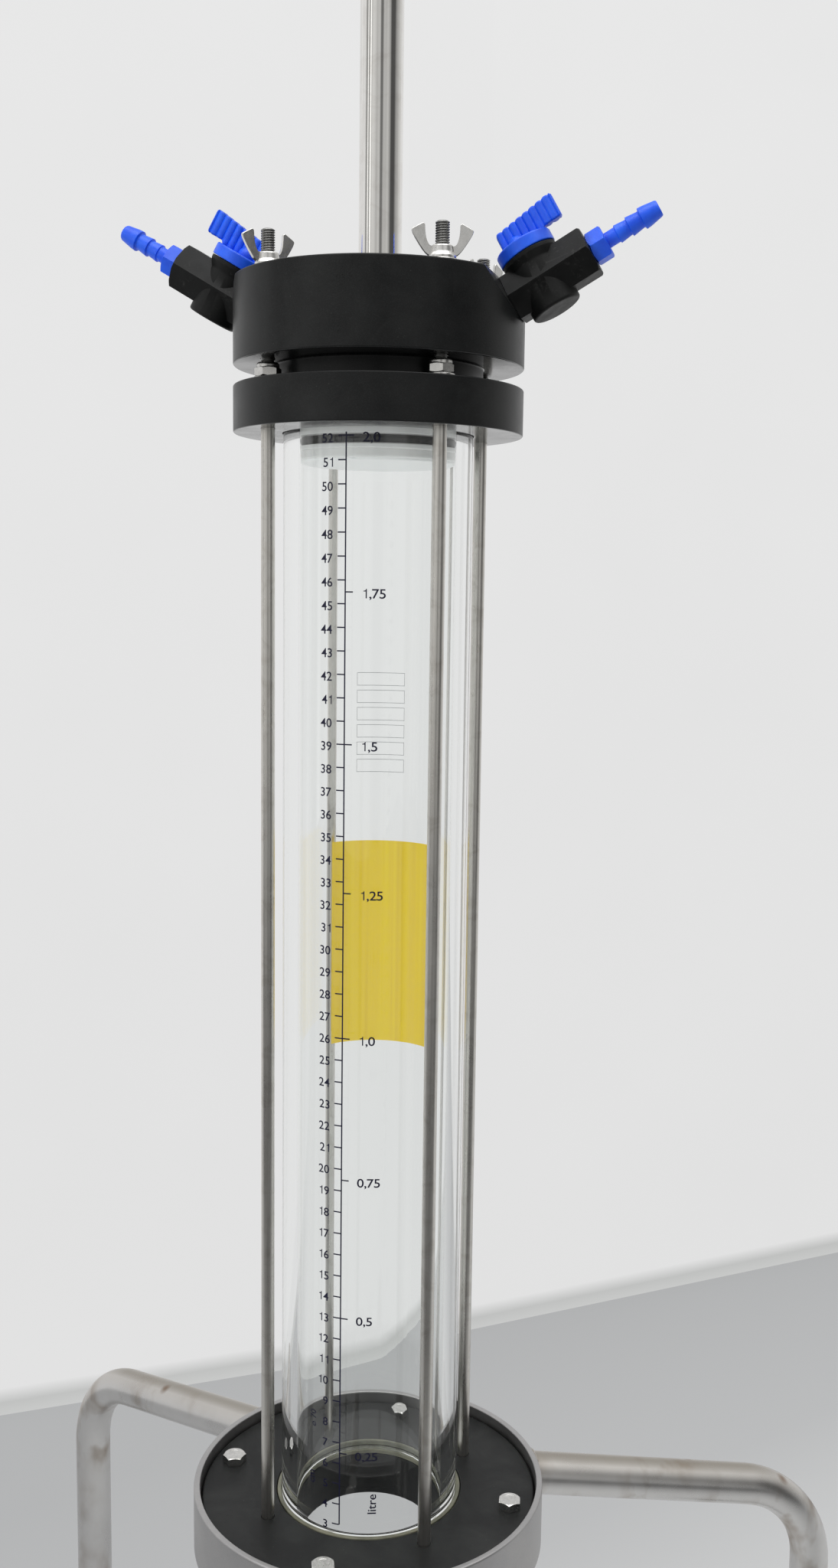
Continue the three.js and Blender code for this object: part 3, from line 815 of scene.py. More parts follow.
def leg_solid():
    stations = leg_stations()
    outer = []
    for i, (centre, angle) in enumerate(stations):
        # the tube is slightly flattened through the bend
        flat = 1.0 - 0.045 * math.sin(math.pi * min(max((i - 8) / 16, 0), 1))
        outer.append(cross_section(centre, angle, LEG_RADIUS, squash=flat))
    outer[0] = [onto_cylinder(point, RING_RADIUS + 0.05) for point in outer[0]]
    inner = [cross_section(centre, angle, LEG_RADIUS - LEG_WALL)
             for centre, angle in stations[::-1]]
    return loft(outer + inner, wrap=True)


def weld_solid():
    """Uneven bead round the joint of leg and ring."""
    count = 72
    path = cross_section(LEG_START, LEG_TURN, LEG_RADIUS + 0.2, count)
    directions = cross_section(np.zeros(3), LEG_TURN, 1.0, count)
    rings = []
    for j in range(count):
        turn = 2 * math.pi * j / count
        centre = onto_cylinder(path[j], RING_RADIUS + 0.1)
        radius = 1.15 + 0.16 * math.sin(11 * turn) + 0.10 * math.sin(23 * turn + 1.0)
        rings.append([centre + directions[j] * (radius * math.cos(angle))
                      + LEG_DOWN * (radius * math.sin(angle))
                      for angle in np.linspace(0, 2 * math.pi, 10, endpoint=False)])
    return loft(rings, wrap=True)


def build_stand():
    shell = turned([(62.5, RING_BOT, 0.5), (RING_RADIUS, RING_BOT, 0.8),
                    (RING_RADIUS, RING_TOP, 0.9), (81, RING_TOP, 0.7),
                    (81, RING_BOT + 4, 0.6), (62.5, RING_BOT + 4, 0.5)], 224)
    shell = holes(shell, 3.25, -5, 10, BOLT_CIRCLE, 0)
    piece("ring_shell", shell, "ring", "stand_ring")
    leg = leg_solid()
    weld = weld_solid()
    foot = turned([(0, 0, 0), (13.0, 0, 0.6), (14, 1.2, 0.6), (14, 4.6, 1.2),
                   (12.8, 8.2, 2.0), (12.6, 24.6, 1.2), (11.4, 26, 0.5),
                   (10.3, 26, 0.3), (10.3, 5.2, 0.3), (0, 5.2, 0)], 72)
    for side, azimuth in LEG_AZIMUTHS.items():
        at = spin(azimuth)
        piece(f"leg_tube_{side}", leg, "stand", f"stand_leg_{side}",
              at=at, smooth=40)
        piece(f"leg_weld_{side}", weld, "stand", at=at, smooth=60)
        x, y = on_circle(LEG_REACH, azimuth)
        piece(f"foot_cap_{side}", foot, "foot", f"foot_{side}",
              at=move(x, y, GROUND))


# -------------------------------------------------- plates, lid, tube, gaskets
def build_base():
    base = turned([(BORE_RADIUS, BASE_BOT, 0.8), (61.5, BASE_BOT, 0.4), (61.5, 4.3, 0.3),
                   (80, 4.3, 0.4), (80, BASE_TOP, 0.8), (44.4, BASE_TOP, 0.5),
                   (44.4, 21.3, 0.3), (BORE_RADIUS, 21.3, 0.5)], 192)
    base = holes(base, 3.2, ROD_BOT - 0.3, 40, ROD_CIRCLE, 45)
    base = holes(base, 3.25, -5, 40, BOLT_CIRCLE, 0)
    piece("base_plate", base, "base", "base_flange")


def build_clamp_flange():
    ledge = TUBE_TOP + 2.2
    flange = turned([(42.4, FLANGE_BOT, 0.5), (HEAD_RADIUS, FLANGE_BOT, 0.6),
                     (HEAD_RADIUS, FLANGE_TOP, 0.6), (35.3, FLANGE_TOP, 0.5),
                     (35.3, ledge, 0.3), (42.4, ledge, 0.3)], 192)
    flange = holes(flange, 3.25, 500, 560, ROD_CIRCLE, 45)
    piece("clamp_flange", flange, "lid", "top_flange")


def build_lid():
    lid = turned([(9.8, 561, 0), (30, 561, 0.5), (30, NECK_BOT, 0.5), (39.3, NECK_BOT, 0.3),
                  (39.3, 547.1, 0), (43.1, 547.1, 0), (43.1, NECK_BOT, 0.3),
                  (46, NECK_BOT, 0.6), (46, LID_BOT, 0.8), (HEAD_RADIUS, LID_BOT, 0.7),
                  (HEAD_RADIUS, LID_TOP, 0.7), (9.8, LID_TOP, 0.8), (9.8, 576.2, 0.3),
                  (12.6, 576.2, 0), (12.6, 573, 0), (9.8, 573, 0.3)], 192)
    lid = holes(lid, 3.3, 520, 620, ROD_CIRCLE, 45)
    # a slanting flat and a socket for each valve
    block = prism([(0, -70), (60, -70), (60, 70), (0, 70)], -45, 45)
    socket = cylinder(6.8, -8.4, 5)
    cuts = []
    for side in VALVES:
        at = valve_matrix(side)
        cuts += [placed(block, at), placed(socket, at @ ALONG_X)]
    piece("head_lid", boolean(lid, cuts), "lid", "lid", smooth=28)


def build_tube():
    tube = turned([(BORE_RADIUS, TUBE_BOT, 0.7), (TUBE_RADIUS, TUBE_BOT, 0.7),
                   (TUBE_RADIUS, TUBE_TOP, 0.7), (BORE_RADIUS, TUBE_TOP, 0.7)], 256)
    piece("tube_wall", tube, "glass", "glass_tube", smooth=40, weighted=False)
    foot_gasket = turned([(35.2, 21.4, 0.3), (44.1, 21.4, 0.3), (44.1, 25.5, 0.5),
                          (42.3, 25.9, 0.5), (42.3, 23.4, 0.2), (35.2, 23.4, 0.4)], 160)
    piece("foot_gasket", foot_gasket, "gasket", "bottom_gasket")
    low, high = TUBE_TOP + 0.1, TUBE_TOP + 2.1
    head_gasket = turned([(35.3, low, 0.4), (41.7, low, 0.4),
                          (41.7, high, 0.4), (35.3, high, 0.4)], 128)
    piece("head_gasket", head_gasket, "gasket", "top_gasket")


# ----------------------------------------------------------- rods and fasteners
ROD_RADIUS = 3.0
ROD_SEGMENTS = 28
THREAD_PITCH, THREAD_DEPTH = 1.0, 0.55
THREAD_RINGS = 8            # rings per pitch
THREAD_FADE = 0.6           # length over which the thread runs in and out

# half the outline of a wing nut, (distance from the axis, height)
WING = [(3.0, 0.5), (5.0, 0.8), (7.1, 2.2), (9.6, 5.4), (11.9, 9.0), (12.6, 10.5),
        (12.75, 11.2), (12.4, 11.8), (10.5, 12.9), (8.7, 13.85), (8.0, 14.1),
        (7.5, 13.85), (7.25, 13.2), (7.1, 10.8), (6.6, 7.8), (5.5, 5.4), (4.3, 4.7),
        (3.0, 4.6)]
# slices through a wing, (place across its thickness, size)
WING_SLICES = [(-1.0, 0.80), (-0.86, 0.93), (-0.55, 1.0), (0.55, 1.0), (0.86, 0.93),
               (1.0, 0.80)]


def thread_rings(z0, z1):
    """Rings of a single-start thread."""
    rows = int(round((z1 - z0) / THREAD_PITCH * THREAD_RINGS))
    rings = []
    for i in range(rows + 1):
        z = z0 + (z1 - z0) * i / rows
        fade = max(0.0, min(1.0, (z - z0) / THREAD_FADE, (z1 - z) / THREAD_FADE))
        ring = []
        for j in range(ROD_SEGMENTS):
            angle = 2 * math.pi * j / ROD_SEGMENTS
            phase = (z / THREAD_PITCH - j / ROD_SEGMENTS) % 1.0
            crest = min(1.0, abs(2 * phase - 1) * 1.25)     # 0 at the root, flat at 1
            radius = ROD_RADIUS - THREAD_DEPTH * (1 - crest) * fade
            ring.append((radius * math.cos(angle), radius * math.sin(angle), z))
        rings.append(ring)
    return rings


def rod_solid():
    def plain(*pairs):
        return [ring_points(radius, z, ROD_SEGMENTS) for radius, z in pairs]

    rings = plain((2.4, ROD_BOT), (2.95, ROD_BOT + 0.6), (ROD_RADIUS, ROD_BOT + 1.2),
                  (ROD_RADIUS, 300), (ROD_RADIUS, FLANGE_TOP - 0.4))
    rings += thread_rings(FLANGE_TOP - 0.2, LID_BOT + 1.5)
    rings += plain((ROD_RADIUS, LID_BOT + 2), (ROD_RADIUS, LID_TOP - 1.4))
    rings += thread_rings(LID_TOP - 1.2, ROD_TOP - 0.55)
    rings += plain((2.55, ROD_TOP - 0.25), (2.2, ROD_TOP))
    return loft(rings)


def wing_solid():
    outline = np.array(smooth_loop(WING, 5))
    centre = outline.mean(0)
    slices = []
    for across, size in WING_SLICES:
        row = []
        for point in outline:
            x, z = centre + (point - centre) * (1 - (1 - size) * 0.32)
            half_thickness = 1.05 - 0.018 * z
            bow = 0.01225 * (x - 3) ** 1.3 if x > 3 else 0.0
            row.append((x, across * half_thickness + bow, z))
        slices.append(row)
    return loft(slices)


def wing_nut():
    wing = wing_solid()
    hub = turned([(0, 0, 0), (5.9, 0, 0.3), (5.8, 1.0, 0.5), (4.9, 2.4, 1.4),
                  (4.5, 5.4, 0.8), (0, 5.4, 0)], 64, steps=5)
    nut = boolean(hub, [wing, placed(wing, spin(180))], "UNION")
    return boolean(nut, [cylinder(3.15, -2, 12)])


def hex_nut(flats, z0, z1):
    """Hexagon with both ends chamfered."""
    corner = flats / math.sqrt(3)
    chamfer = 0.62 * (corner - flats / 2)
    face = flats / 2 - 0.1
    envelope = [(0, z0 - 0.01), (face, z0 - 0.01), (corner + 0.05, z0 + chamfer),
                (corner + 0.05, z1 - chamfer), (face, z1 + 0.01), (0, z1 + 0.01)]
    return hex_bar(flats, 0, z0, z1, envelope, 64)


def collared_nut():
    """Drilled hexagon nut with a round collar on top."""
    z0, z1, collar_top = FLANGE_TOP + 1.6, FLANGE_TOP + 5.2, FLANGE_TOP + 7.4
    collar = turned([(0, z1 - 0.8, 0), (4.85, z1 - 0.8, 0), (4.85, collar_top, 1.1),
                     (0, collar_top, 0)], 48, steps=5)
    nut = boolean(hex_nut(10, z0, z1), [collar], "UNION")
    return bevel(boolean(nut, [cylinder(3.2, z0 - 5, z1 + 12)]), 0.14)


def washer(inner, outer, z0, z1):
    return turned([(inner, z0, 0.1), (outer, z0, 0.35), (outer, z1, 0.45), (inner, z1, 0.2)],
                  64, steps=3, support=0.1)


def paint_threads(rod):
    """Give the threaded lengths of a rod their own, darker steel: partly grime, partly painted
    shade standing in for the shadow under the lid.
    """
    rod.data.materials.append(FINISHES["thread"])
    z = np.array([face.center.z for face in rod.data.polygons]) * 1000 - ORIGIN[2]
    lower = (z > FLANGE_TOP - 0.3) & (z < LID_BOT + 1.6)
    threaded = lower | (z > LID_TOP - 1.3)
    rod.data.polygons.foreach_set("material_index", threaded.astype(int).tolist())


def build_rods():
    rod = rod_solid()
    butterfly = wing_nut()
    nut = collared_nut()
    washer_low = washer(3.3, 6.0, FLANGE_TOP + 0.1, FLANGE_TOP + 1.5)
    washer_top = washer(3.3, 6.6, LID_TOP + 0.1, LID_TOP + 1.3)
    for i, (where, (azimuth, wing_turn)) in enumerate(CORNERS.items()):
        x, y = on_circle(ROD_CIRCLE, azimuth)
        at = move(x, y, 0)
        ob = piece(f"threaded_rod_{where}", rod, "rod", f"tie_rod_{where}",
                   at=at, smooth=60, weighted=False)
        paint_threads(ob)
        piece(f"washer_low_{where}", washer_low, "bolt",
              f"flange_washer_{where}", at=at)
        piece(f"hex_nut_{where}", nut, "bolt", f"flange_nut_{where}",
              at=at @ spin(8 + 25 * i), smooth=30)
        piece(f"washer_top_{where}", washer_top, "bolt",
              f"lid_washer_{where}", at=at)
        piece(f"butterfly_nut_{where}", butterfly, "wing",
              f"wing_nut_{where}", at=move(x, y, LID_TOP + 1.45) @ spin(wing_turn),
              body=f"wing_nut_{where}", smooth=45)


def build_base_bolts():
    z = BASE_TOP
    head = hex_bar(10, 10, z + 0.1, z + 4.1,
                   [(0, z), (6, z), (6, z + 3.35), (4.75, z + 4.12), (0, z + 4.12)], 64)
    dish = lathe([(0, z + 3.95), (3.1, z + 3.98), (3.6, z + 4.6), (0, z + 4.6)], 48)
    head = boolean(head, [dish])
    shank = turned([(0, -1, 0), (2.4, -1, 0.1), (2.95, -0.4, 0.1), (2.95, z + 1, 0),
                    (0, z + 1, 0)], 24)
    bolt = bevel(boolean(head, [shank], "UNION"), 0.13)
    for side, (azimuth, turn) in BOLTS.items():
        x, y = on_circle(BOLT_CIRCLE, azimuth)
        piece(f"hex_bolt_{side}", bolt, "bolt", f"base_bolt_{side}",
              at=move(x, y, 0) @ spin(turn), smooth=30)


# ---------------------------------------------------------------------- valves
# The lever's blade runs along X from one end to the other, measured from the stem.
BLADE_START, BLADE_END = -8.6, 20.2
BLADE_BOT = 17.2
BLADE_TOP_START, BLADE_TOP_END = 27.0, 30.4
BLADE_STEP_X = 10.2         # beyond this the underside rises clear of the cap
RIB_PITCH = 3.42
BLADE_EASE = 0.9            # length over which the ends are rounded, also corner radius


def blade_solid():
    """Ribbed bar whose thickness swells at each rib."""
    stations = np.concatenate([np.linspace(-8.6, -7.9, 4), np.linspace(-7.75, 19.2, 150),
                               np.linspace(19.3, 20.2, 5)])
    rings = []
    for x in stations:
        along = x - BLADE_START
        rib = abs(math.cos(math.pi * (along / RIB_PITCH - 0.5))) ** 0.6   # 0 in a groove
        taper = min(1.0, along / 0.7 + 0.35, BLADE_END - x + 0.35)
        half = (1.95 + 0.85 * rib) * math.sqrt(taper)
        near_start = max(0.0, 1 - along / BLADE_EASE)
        near_end = max(0.0, (x - BLADE_END + BLADE_EASE) / BLADE_EASE)
        rise = (BLADE_TOP_END - BLADE_TOP_START) / (BLADE_END - BLADE_START)
        top = BLADE_TOP_START + rise * along - 0.45 * (1 - rib)
        top -= 0.9 * near_start + 0.9 * near_end
        bottom = BLADE_BOT + 0.8 * near_end
        if x >= BLADE_STEP_X:
            bottom += 1.9 * min(1.0, (x - BLADE_STEP_X) / 2.2) + 0.28 * (1 - rib)
        y_in, z_low, z_high = half - BLADE_EASE, bottom + BLADE_EASE, top - BLADE_EASE
        ring = []
        for y, z, start in ((y_in, z_low, -90), (y_in, z_high, 0),
                            (-y_in, z_high, 90), (-y_in, z_low, 180)):
            for k in range(4):
                dy, dz = on_circle(BLADE_EASE, start + 30 * k)
                ring.append((x, y + dy, z + dz))
        rings.append(ring)
    return loft(rings)


def valve_body():
    """Hexagonal body with an upright boss, a spigot into the lid and its bores."""
    flats = 20
    corner = flats / math.sqrt(3) + 0.1
    bar = hex_bar(flats, 0, 0.1, PORT_END,
                  [(0, 0.05), (corner, 0.05), (corner, PORT_END - 0.9),
                   (10.35, PORT_END + 0.01), (0, PORT_END + 0.01)], 96)
    boss = turned([(0, -13.6, 0), (11, -13.6, 1.1), (11, 7.6, 2.0), (12.3, 10.8, 0.5),
                   (12.4, 12.4, 0.3), (0, 12.4, 0)], 96, steps=5)
    to_stem = move(STEM_X, 0, 0)
    spigot = cylinder(6.4, -8, 2, 48)
    body = boolean(placed(bar, ALONG_X), [placed(boss, to_stem), placed(spigot, ALONG_X)],
                   "UNION")
    port = cylinder(5.2, 30, PORT_END + 4, 48)
    bore = cylinder(3.2, -9, 31, 24)
    ball_space = cylinder(8.5, STEM_X - 8.6, STEM_X + 8.6, 48)
    cuts = [placed(cut, ALONG_X) for cut in (port, bore, ball_space)]
    body = boolean(body, cuts + [placed(cylinder(3.4, 0, 20), to_stem)])
    return bevel(body, 0.45, segments=3, angle=32)


def valve_lever():
    """Round cap with the ribbed blade, a knob beside the stem axis and the stem."""
    cap = turned([(0, 12.7, 0), (12.7, 12.7, 0.45), (12.7, 18, 0.8), (0, 18, 0)], 128,
                 steps=5)
    arc = [(4.7 * math.cos(t), 18.3 + 4.7 * math.sin(t)) for t in np.linspace(-1.0, 1.5, 18)]
    knob = placed(lathe([(0, 14.2), *arc, (0, 23.0)], 48), move(-1.8, 0, 0))
    return boolean(cap, [blade_solid(), knob, cylinder(3, 7.9, 14)], "UNION")


def hose_barb():
    """Barbed tube with a hexagonal collar."""
    s = BARB_START
    tube = turned([(2.2, 30, 0), (4.9, 30, 0), (4.9, s - 0.6, 0), (3.35, s - 0.6, 0.4),
                   (3.35, s + 4.6, 0), (3.55, s + 4.9, 0.12), (4.0, s + 5.0, 0.18),
                   (3.45, s + 10.2, 0.3), (3.65, s + 10.5, 0.12), (4.3, s + 10.6, 0.18),
                   (3.6, s + 16.0, 0.3), (3.8, s + 16.4, 0.12), (4.75, s + 16.6, 0.35),
                   (4.55, s + 19.0, 0.6), (3.65, s + 24.3, 0.5), (3.2, s + 25, 0.3),
                   (2.2, s + 25, 0.2)], 64, steps=3, support=0.12)
    collar = bevel(hex_nut(13, 38.9, s), 0.14)
    collar = boolean(collar, [cylinder(2.6, 20, 60)])
    return boolean(placed(tube, ALONG_X), [placed(collar, ALONG_X)], "UNION")


def build_valves():
    body, lever, barb = valve_body(), valve_lever(), hose_barb()
    for side in VALVES:
        at = valve_matrix(side)
        piece(f"valve_shell_{side}", body, "valve", f"valve_body_{side}",
              at=at, smooth=34)
        piece(f"valve_lever_{side}", lever, "blue", f"valve_handle_{side}",
              at=at @ move(STEM_X, 0, 0), body=f"valve_{side}", smooth=38)
        piece(f"barb_fitting_{side}", barb, "blue", f"hose_barb_{side}",
              at=at, smooth=34)


# --------------------------------------------------------------------- adaptor
def shaft_fitting():
    """Hexagon nut and stepped, barbed nipple on top of the shaft."""
    top = SHAFT_TOP
    flats = 27
    corner = flats / math.sqrt(3) + 0.1
    nut = hex_bar(flats, 30, top - 14, top + 6,
                  [(0, top - 14.01), (13.2, top - 14.01), (corner, top - 12.9),
                   (corner, top + 4.9), (13.2, top + 6.01), (0, top + 6.01)], 96)
    nipple = turned([(0, top - 16, 0), (12.2, top - 16, 0.6), (12.2, top + 8, 1.5),
                     (6.5, top + 11, 1.2), (6.5, top + 14, 0.5), (4.1, top + 15, 0.6),
                     (4.1, top + 20, 0.2), (4.7, top + 20.3, 0.3), (4.0, top + 25, 0.3),
                     (4.7, top + 25.3, 0.3), (3.5, top + 31, 0.5), (0, top + 31, 0)],
                    64, steps=3)
    nut = boolean(nut, [nipple], "UNION")
    socket = cylinder(9.8, top - 20, top + 0.3, 64)
    bore = cylinder(2.2, top - 1, top + 40)
    return bevel(boolean(nut, [socket, bore]), 0.3)


def build_adaptor():
    def part(name, solid, finish, slot, replaces, smooth=32):
        piece(name, solid, finish, replaces, body="adaptor", smooth=smooth)

    shaft = turned([(3, SHAFT_BOT, 0), (9.5, SHAFT_BOT, 0.5), (9.5, SHAFT_TOP, 0.8),
                    (3, SHAFT_TOP, 0)], 128)
    part("shaft_tube", shaft, "shaft", "polished_steel", "adaptor_rod")
    part("shaft_fitting", shaft_fitting(), "bolt", "polished_steel", "rod_top_fitting")

    piston = turned([(3, 515.5, 0), (34.7, 515.5, 0.4), (34.7, 517.4, 0.25),
                     (31, 517.4, 0.2), (31, 521.6, 0.2), (34.7, 521.6, 0.3),
                     (34.7, 533.4, 0.3), (31, 533.4, 0.2), (31, 537.6, 0.2),
                     (34.7, 537.6, 0.25), (34.7, 540.5, 0.8), (9.8, 540.5, 0.5),
                     (9.8, 524, 0), (3, 524, 0)], 160, steps=3, support=0.15)
    part("piston_shell", piston, "white", "white_plastic", "piston_body")
    for which, z in (("lower", 519.5), ("upper", 535.5)):
        circle = [(33 + 1.75 * math.cos(t), z + 1.75 * math.sin(t))
                  for t in np.linspace(0, 2 * math.pi, 20, endpoint=False)]
        part(f"seal_ring_{which}", lathe(circle, 160), "rubber", "seal_rubber",
             f"piston_o_ring_{which}", smooth=60)
    plate = turned([(2, 511.7, 0.2), (34.4, 511.7, 0.7), (34.4, 515.3, 0.3),
                    (2, 515.3, 0.2)], 160)
    part("plate_disc", plate, "white", "white_plastic", "distributor_plate")
    net = turned([(0, 510.5, 0), (34.4, 510.5, 0.3), (34.4, 511.5, 0.2), (0, 511.5, 0)],
                 160, steps=3, support=0.1)
    part("net_disc", net, "net", "net_steel", "bed_net")


# -------------------------------------------------------- printing on the tube
SCALE_AZIMUTH = 268.0
BOXES_AZIMUTH = 103
PRINT_RADIUS = TUBE_RADIUS + 0.06
INK_HALF = 0.025            # half the thickness of the ink
BOLD = 0.05                 # outward growth of the letter outlines
LITRE_PITCH = 65.0          # height of a quarter litre
LITRES = ["0,25", "0,5", "0,75", "1,0", "1,25", "1,5", "1,75", "2,0"]
# outline of the digit one, as parts of its height
DIGIT_ONE = [(0.235, 0), (0.365, 0), (0.365, 1), (0.275, 1), (0.245, 0.90),
             (0.165, 0.835), (0.0, 0.805), (0.0, 0.715), (0.235, 0.715)]


def on_tube(solid, azimuth, z, dx=0.0, turn=False):
    """Wrap a flat drawing (x right, y up, z out) onto the tube, seen from outside;
    turn first lays it on its side, reading upward."""
    x, y, out = np.asarray(solid[0], float).T
    if turn:
        x, y = -y, x
    angle = math.radians(azimuth) + (x + dx) / TUBE_RADIUS
    radius = PRINT_RADIUS + out
    return np.c_[radius * np.cos(angle), radius * np.sin(angle), z + y], solid[1]


def flat_box(x0, x1, y0, y1, half=INK_HALF):
    """Thin slab, divided along x so that it bends with the tube."""
    columns = max(1, int((x1 - x0) / 1.5))
    return loft([[(x, y0, -half), (x, y1, -half), (x, y1, half), (x, y0, half)]
                 for x in np.linspace(x0, x1, columns + 1)])


@functools.cache
def glyph(text, height, squeeze=1.0, bold=0.0):
    """A closed thin solid of a short text, origin at its left baseline."""
    curve = bpy.data.curves.new("text", "FONT")
    curve.body = text
    curve.size = height / 0.70
    curve.resolution_u = 4
    curve.extrude = INK_HALF
    curve.offset = bold
    ob = bpy.data.objects.new("text", curve)
    bpy.context.scene.collection.objects.link(ob)
    depsgraph = bpy.context.evaluated_depsgraph_get()
    mesh = bpy.data.meshes.new_from_object(ob.evaluated_get(depsgraph))
    bm = bmesh.new()
    bm.from_mesh(mesh)
    bmesh.ops.remove_doubles(bm, verts=bm.verts, dist=0.002)
    bmesh.ops.dissolve_degenerate(bm, edges=bm.edges, dist=0.002)
    bmesh.ops.recalc_face_normals(bm, faces=bm.faces)
    bm.verts.ensure_lookup_table()
    points = np.array([vertex.co[:] for vertex in bm.verts])
    faces = [[vertex.index for vertex in face.verts] for face in bm.faces]
    bm.free()
    bpy.data.objects.remove(ob)
    bpy.data.meshes.remove(mesh)
    points[:, 0] -= points[:, 0].min()
    points[:, 0] *= squeeze
    return points, faces


def number(text, height, squeeze):
    """Digits of one width, the one drawn with a flag."""
    cell = 0.745 * height
    x, parts = 0.0, []
    for character in text:
        step = cell
        if character == "1":
            outline = [(px * height, py * height) for px, py in DIGIT_ONE]
            shape = prism(outline, -INK_HALF, INK_HALF)
            inset = 0.19 * height
        else:
            shape = glyph(character, height, squeeze, BOLD)
            inset = (cell - shape[0][:, 0].max()) / 2
        if character == ",":
            inset = 0.06 * height
            step = 0.36 * height
        parts.append(shifted(shape, x + inset))
        x += step
    return join(parts)


def build_scale():
    """Upright line with centimetres on its left and litres on its right."""
    parts = []

    def put(solid, z, dx=0.0, turn=False):
        parts.append(on_tube(solid, SCALE_AZIMUTH, z, dx, turn))

    put(flat_box(-0.31, 0.31, 30.0, 521.5), 0)
    for cm in range(3, 53):
        put(flat_box(-3.6, -0.2, -0.29, 0.29), cm * 10.0)
        digits = number(str(cm), height=3.85, squeeze=1.03)
        put(digits, cm * 10.0 - 2.85, dx=-6.0 - digits[0][:, 0].max())
    for i, text in enumerate(LITRES):
        z = LITRE_PITCH * (i + 1)
        put(flat_box(0.2, 3.4, -0.29, 0.29), z)
        put(number(text, height=4.0, squeeze=1.16), z - 2.6, dx=7.2)
    put(glyph("litre", height=3.9, squeeze=1.1, bold=BOLD), 36.5, dx=17.0, turn=True)
    put(glyph("cm", height=4.0, squeeze=0.95, bold=0.03), 47.0, dx=-13.0, turn=True)
    put(glyph("\u00f8 70", height=3.1), 75.0, dx=-12.4, turn=True)
    piece("printed_scale", join(parts), "ink", smooth=0)


def build_label():
    """Plain yellow label on the rear of the tube."""
    start, end = math.radians(57), math.radians(140.5)
    z0, z1 = 236.0, 335.5
    inner, outer = TUBE_RADIUS + 0.04, TUBE_RADIUS + 0.22
    rings = []
    for i in range(73):
        angle = start + (end - start) * i / 72
        cos, sin = math.cos(angle), math.sin(angle)
        rings.append([(radius * cos, radius * sin, z) for radius, z in
                      ((inner, z0), (outer, z0), (outer, z1), (inner, z1))])
    piece("rear_label", loft(rings), "label", smooth=40)


def build_boxes():
    """Six blank outlined boxes printed above the label."""
    edges = [(-13, 13, -3.1, -2.9), (-13, 13, 2.9, 3.1), (-13, -12.8, -3, 3),
             (12.8, 13, -3, 3)]
    parts = [on_tube(flat_box(*edge, half=0.02), BOXES_AZIMUTH, 372.0 + 8.3 * k)
             for k in range(6) for edge in edges]
    piece("printed_boxes", join(parts), "thin", smooth=0)


# ------------------------------------------------------ CAD pieces kept as seen
def dress(node, finish):
    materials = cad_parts[node].data.materials
    materials.clear()
    materials.append(FINISHES[finish])


def dress_cad():
    dress("lid_o_ring", "rubber")
    dress("rod_o_ring", "rubber")
    for side in VALVES:
        for part in ("ball", "seat_inner", "seat_outer"):
            dress(f"valve_{part}_{side}", "white")


# ----------------------------------------------------------------------- stage
CAMERA_TURN = math.radians(16.6)    # of the whole view about the column axis
CAMERA_PLACE = (0.000676, -0.693850, 0.458606)  # metres from scale zero, before the turn
CAMERA_PAN, CAMERA_TILT, CAMERA_ROLL = 0.0385886, -0.1286289, 0.0142871     # radians
CAMERA_LENS = 35.132379             # mm on a 36 mm sensor
CAMERA_SHIFT = (-0.010395996, -0.00095410156)   # parts of the sensor width

STAGE_Z = -0.4                      # floor level, in the frame's millimetres
# wall corners, (x, y)
WALL_LINE = [(-1764, -565), (-412, 355), (-243, 470), (-137, 534), (-85, 596),
             (233, 855), (2141, 2409)]

# Brightness of the room round the horizon, (turn, level): 0.5 is behind the camera,
# 0.25 to its left and 0.75 to its right. Narrow bright strips stand to the left, and a
# dark band to the right.
ROOM = [(0.0, 0.95), (0.17, 0.80), (0.26, 0.45), (0.285, 0.42), (0.295, 2.0),
        (0.305, 0.42), (0.325, 0.45), (0.335, 1.9), (0.350, 0.60), (0.37, 0.85),
        (0.40, 0.85), (0.43, 0.65), (0.475, 0.70), (0.49, 0.22), (0.515, 0.20),
        (0.53, 0.62), (0.59, 0.66), (0.62, 0.50), (0.645, 0.10), (0.70, 0.10),
        (0.73, 0.40), (0.80, 0.75), (0.88, 0.90), (1.0, 0.95)]


def view_turned(vector):
    cos, sin = math.cos(CAMERA_TURN), math.sin(CAMERA_TURN)
    x, y, z = vector
    return Vector((cos * x - sin * y, sin * x + cos * y, z))


BACK = view_turned((0, 1, 0))       # away from the camera
FRONT = -BACK
RIGHT = view_turned((1, 0, 0))      # to the camera's right


def build_camera():
    cos_pan, sin_pan = math.cos(CAMERA_PAN), math.sin(CAMERA_PAN)
    cos_tilt, sin_tilt = math.cos(CAMERA_TILT), math.sin(CAMERA_TILT)
    ahead = Vector((sin_pan * cos_tilt, cos_pan * cos_tilt, sin_tilt))
    right = Vector((cos_pan, -sin_pan, 0))
    up = right.cross(ahead)
    cos_roll, sin_roll = math.cos(CAMERA_ROLL), math.sin(CAMERA_ROLL)
    right, up = cos_roll * right + sin_roll * up, -sin_roll * right + cos_roll * up
    ahead, right, up = view_turned(ahead), view_turned(right), view_turned(up)
    place = view_turned(CAMERA_PLACE) + Vector((AXIS_X, AXIS_Y, SCALE_ZERO))
    camera = bpy.data.cameras.new("camera")
    camera.sensor_width = 36
    camera.lens = CAMERA_LENS
    camera.shift_x, camera.shift_y = CAMERA_SHIFT
    camera.clip_start = 0.01
    ob = bpy.data.objects.new("camera", camera)
    bpy.context.scene.collection.objects.link(ob)
    rows = [(right[i], up[i], -ahead[i], place[i]) for i in range(3)]
    ob.matrix_world = Matrix((*rows, (0, 0, 0, 1)))
    bpy.context.scene.camera = ob


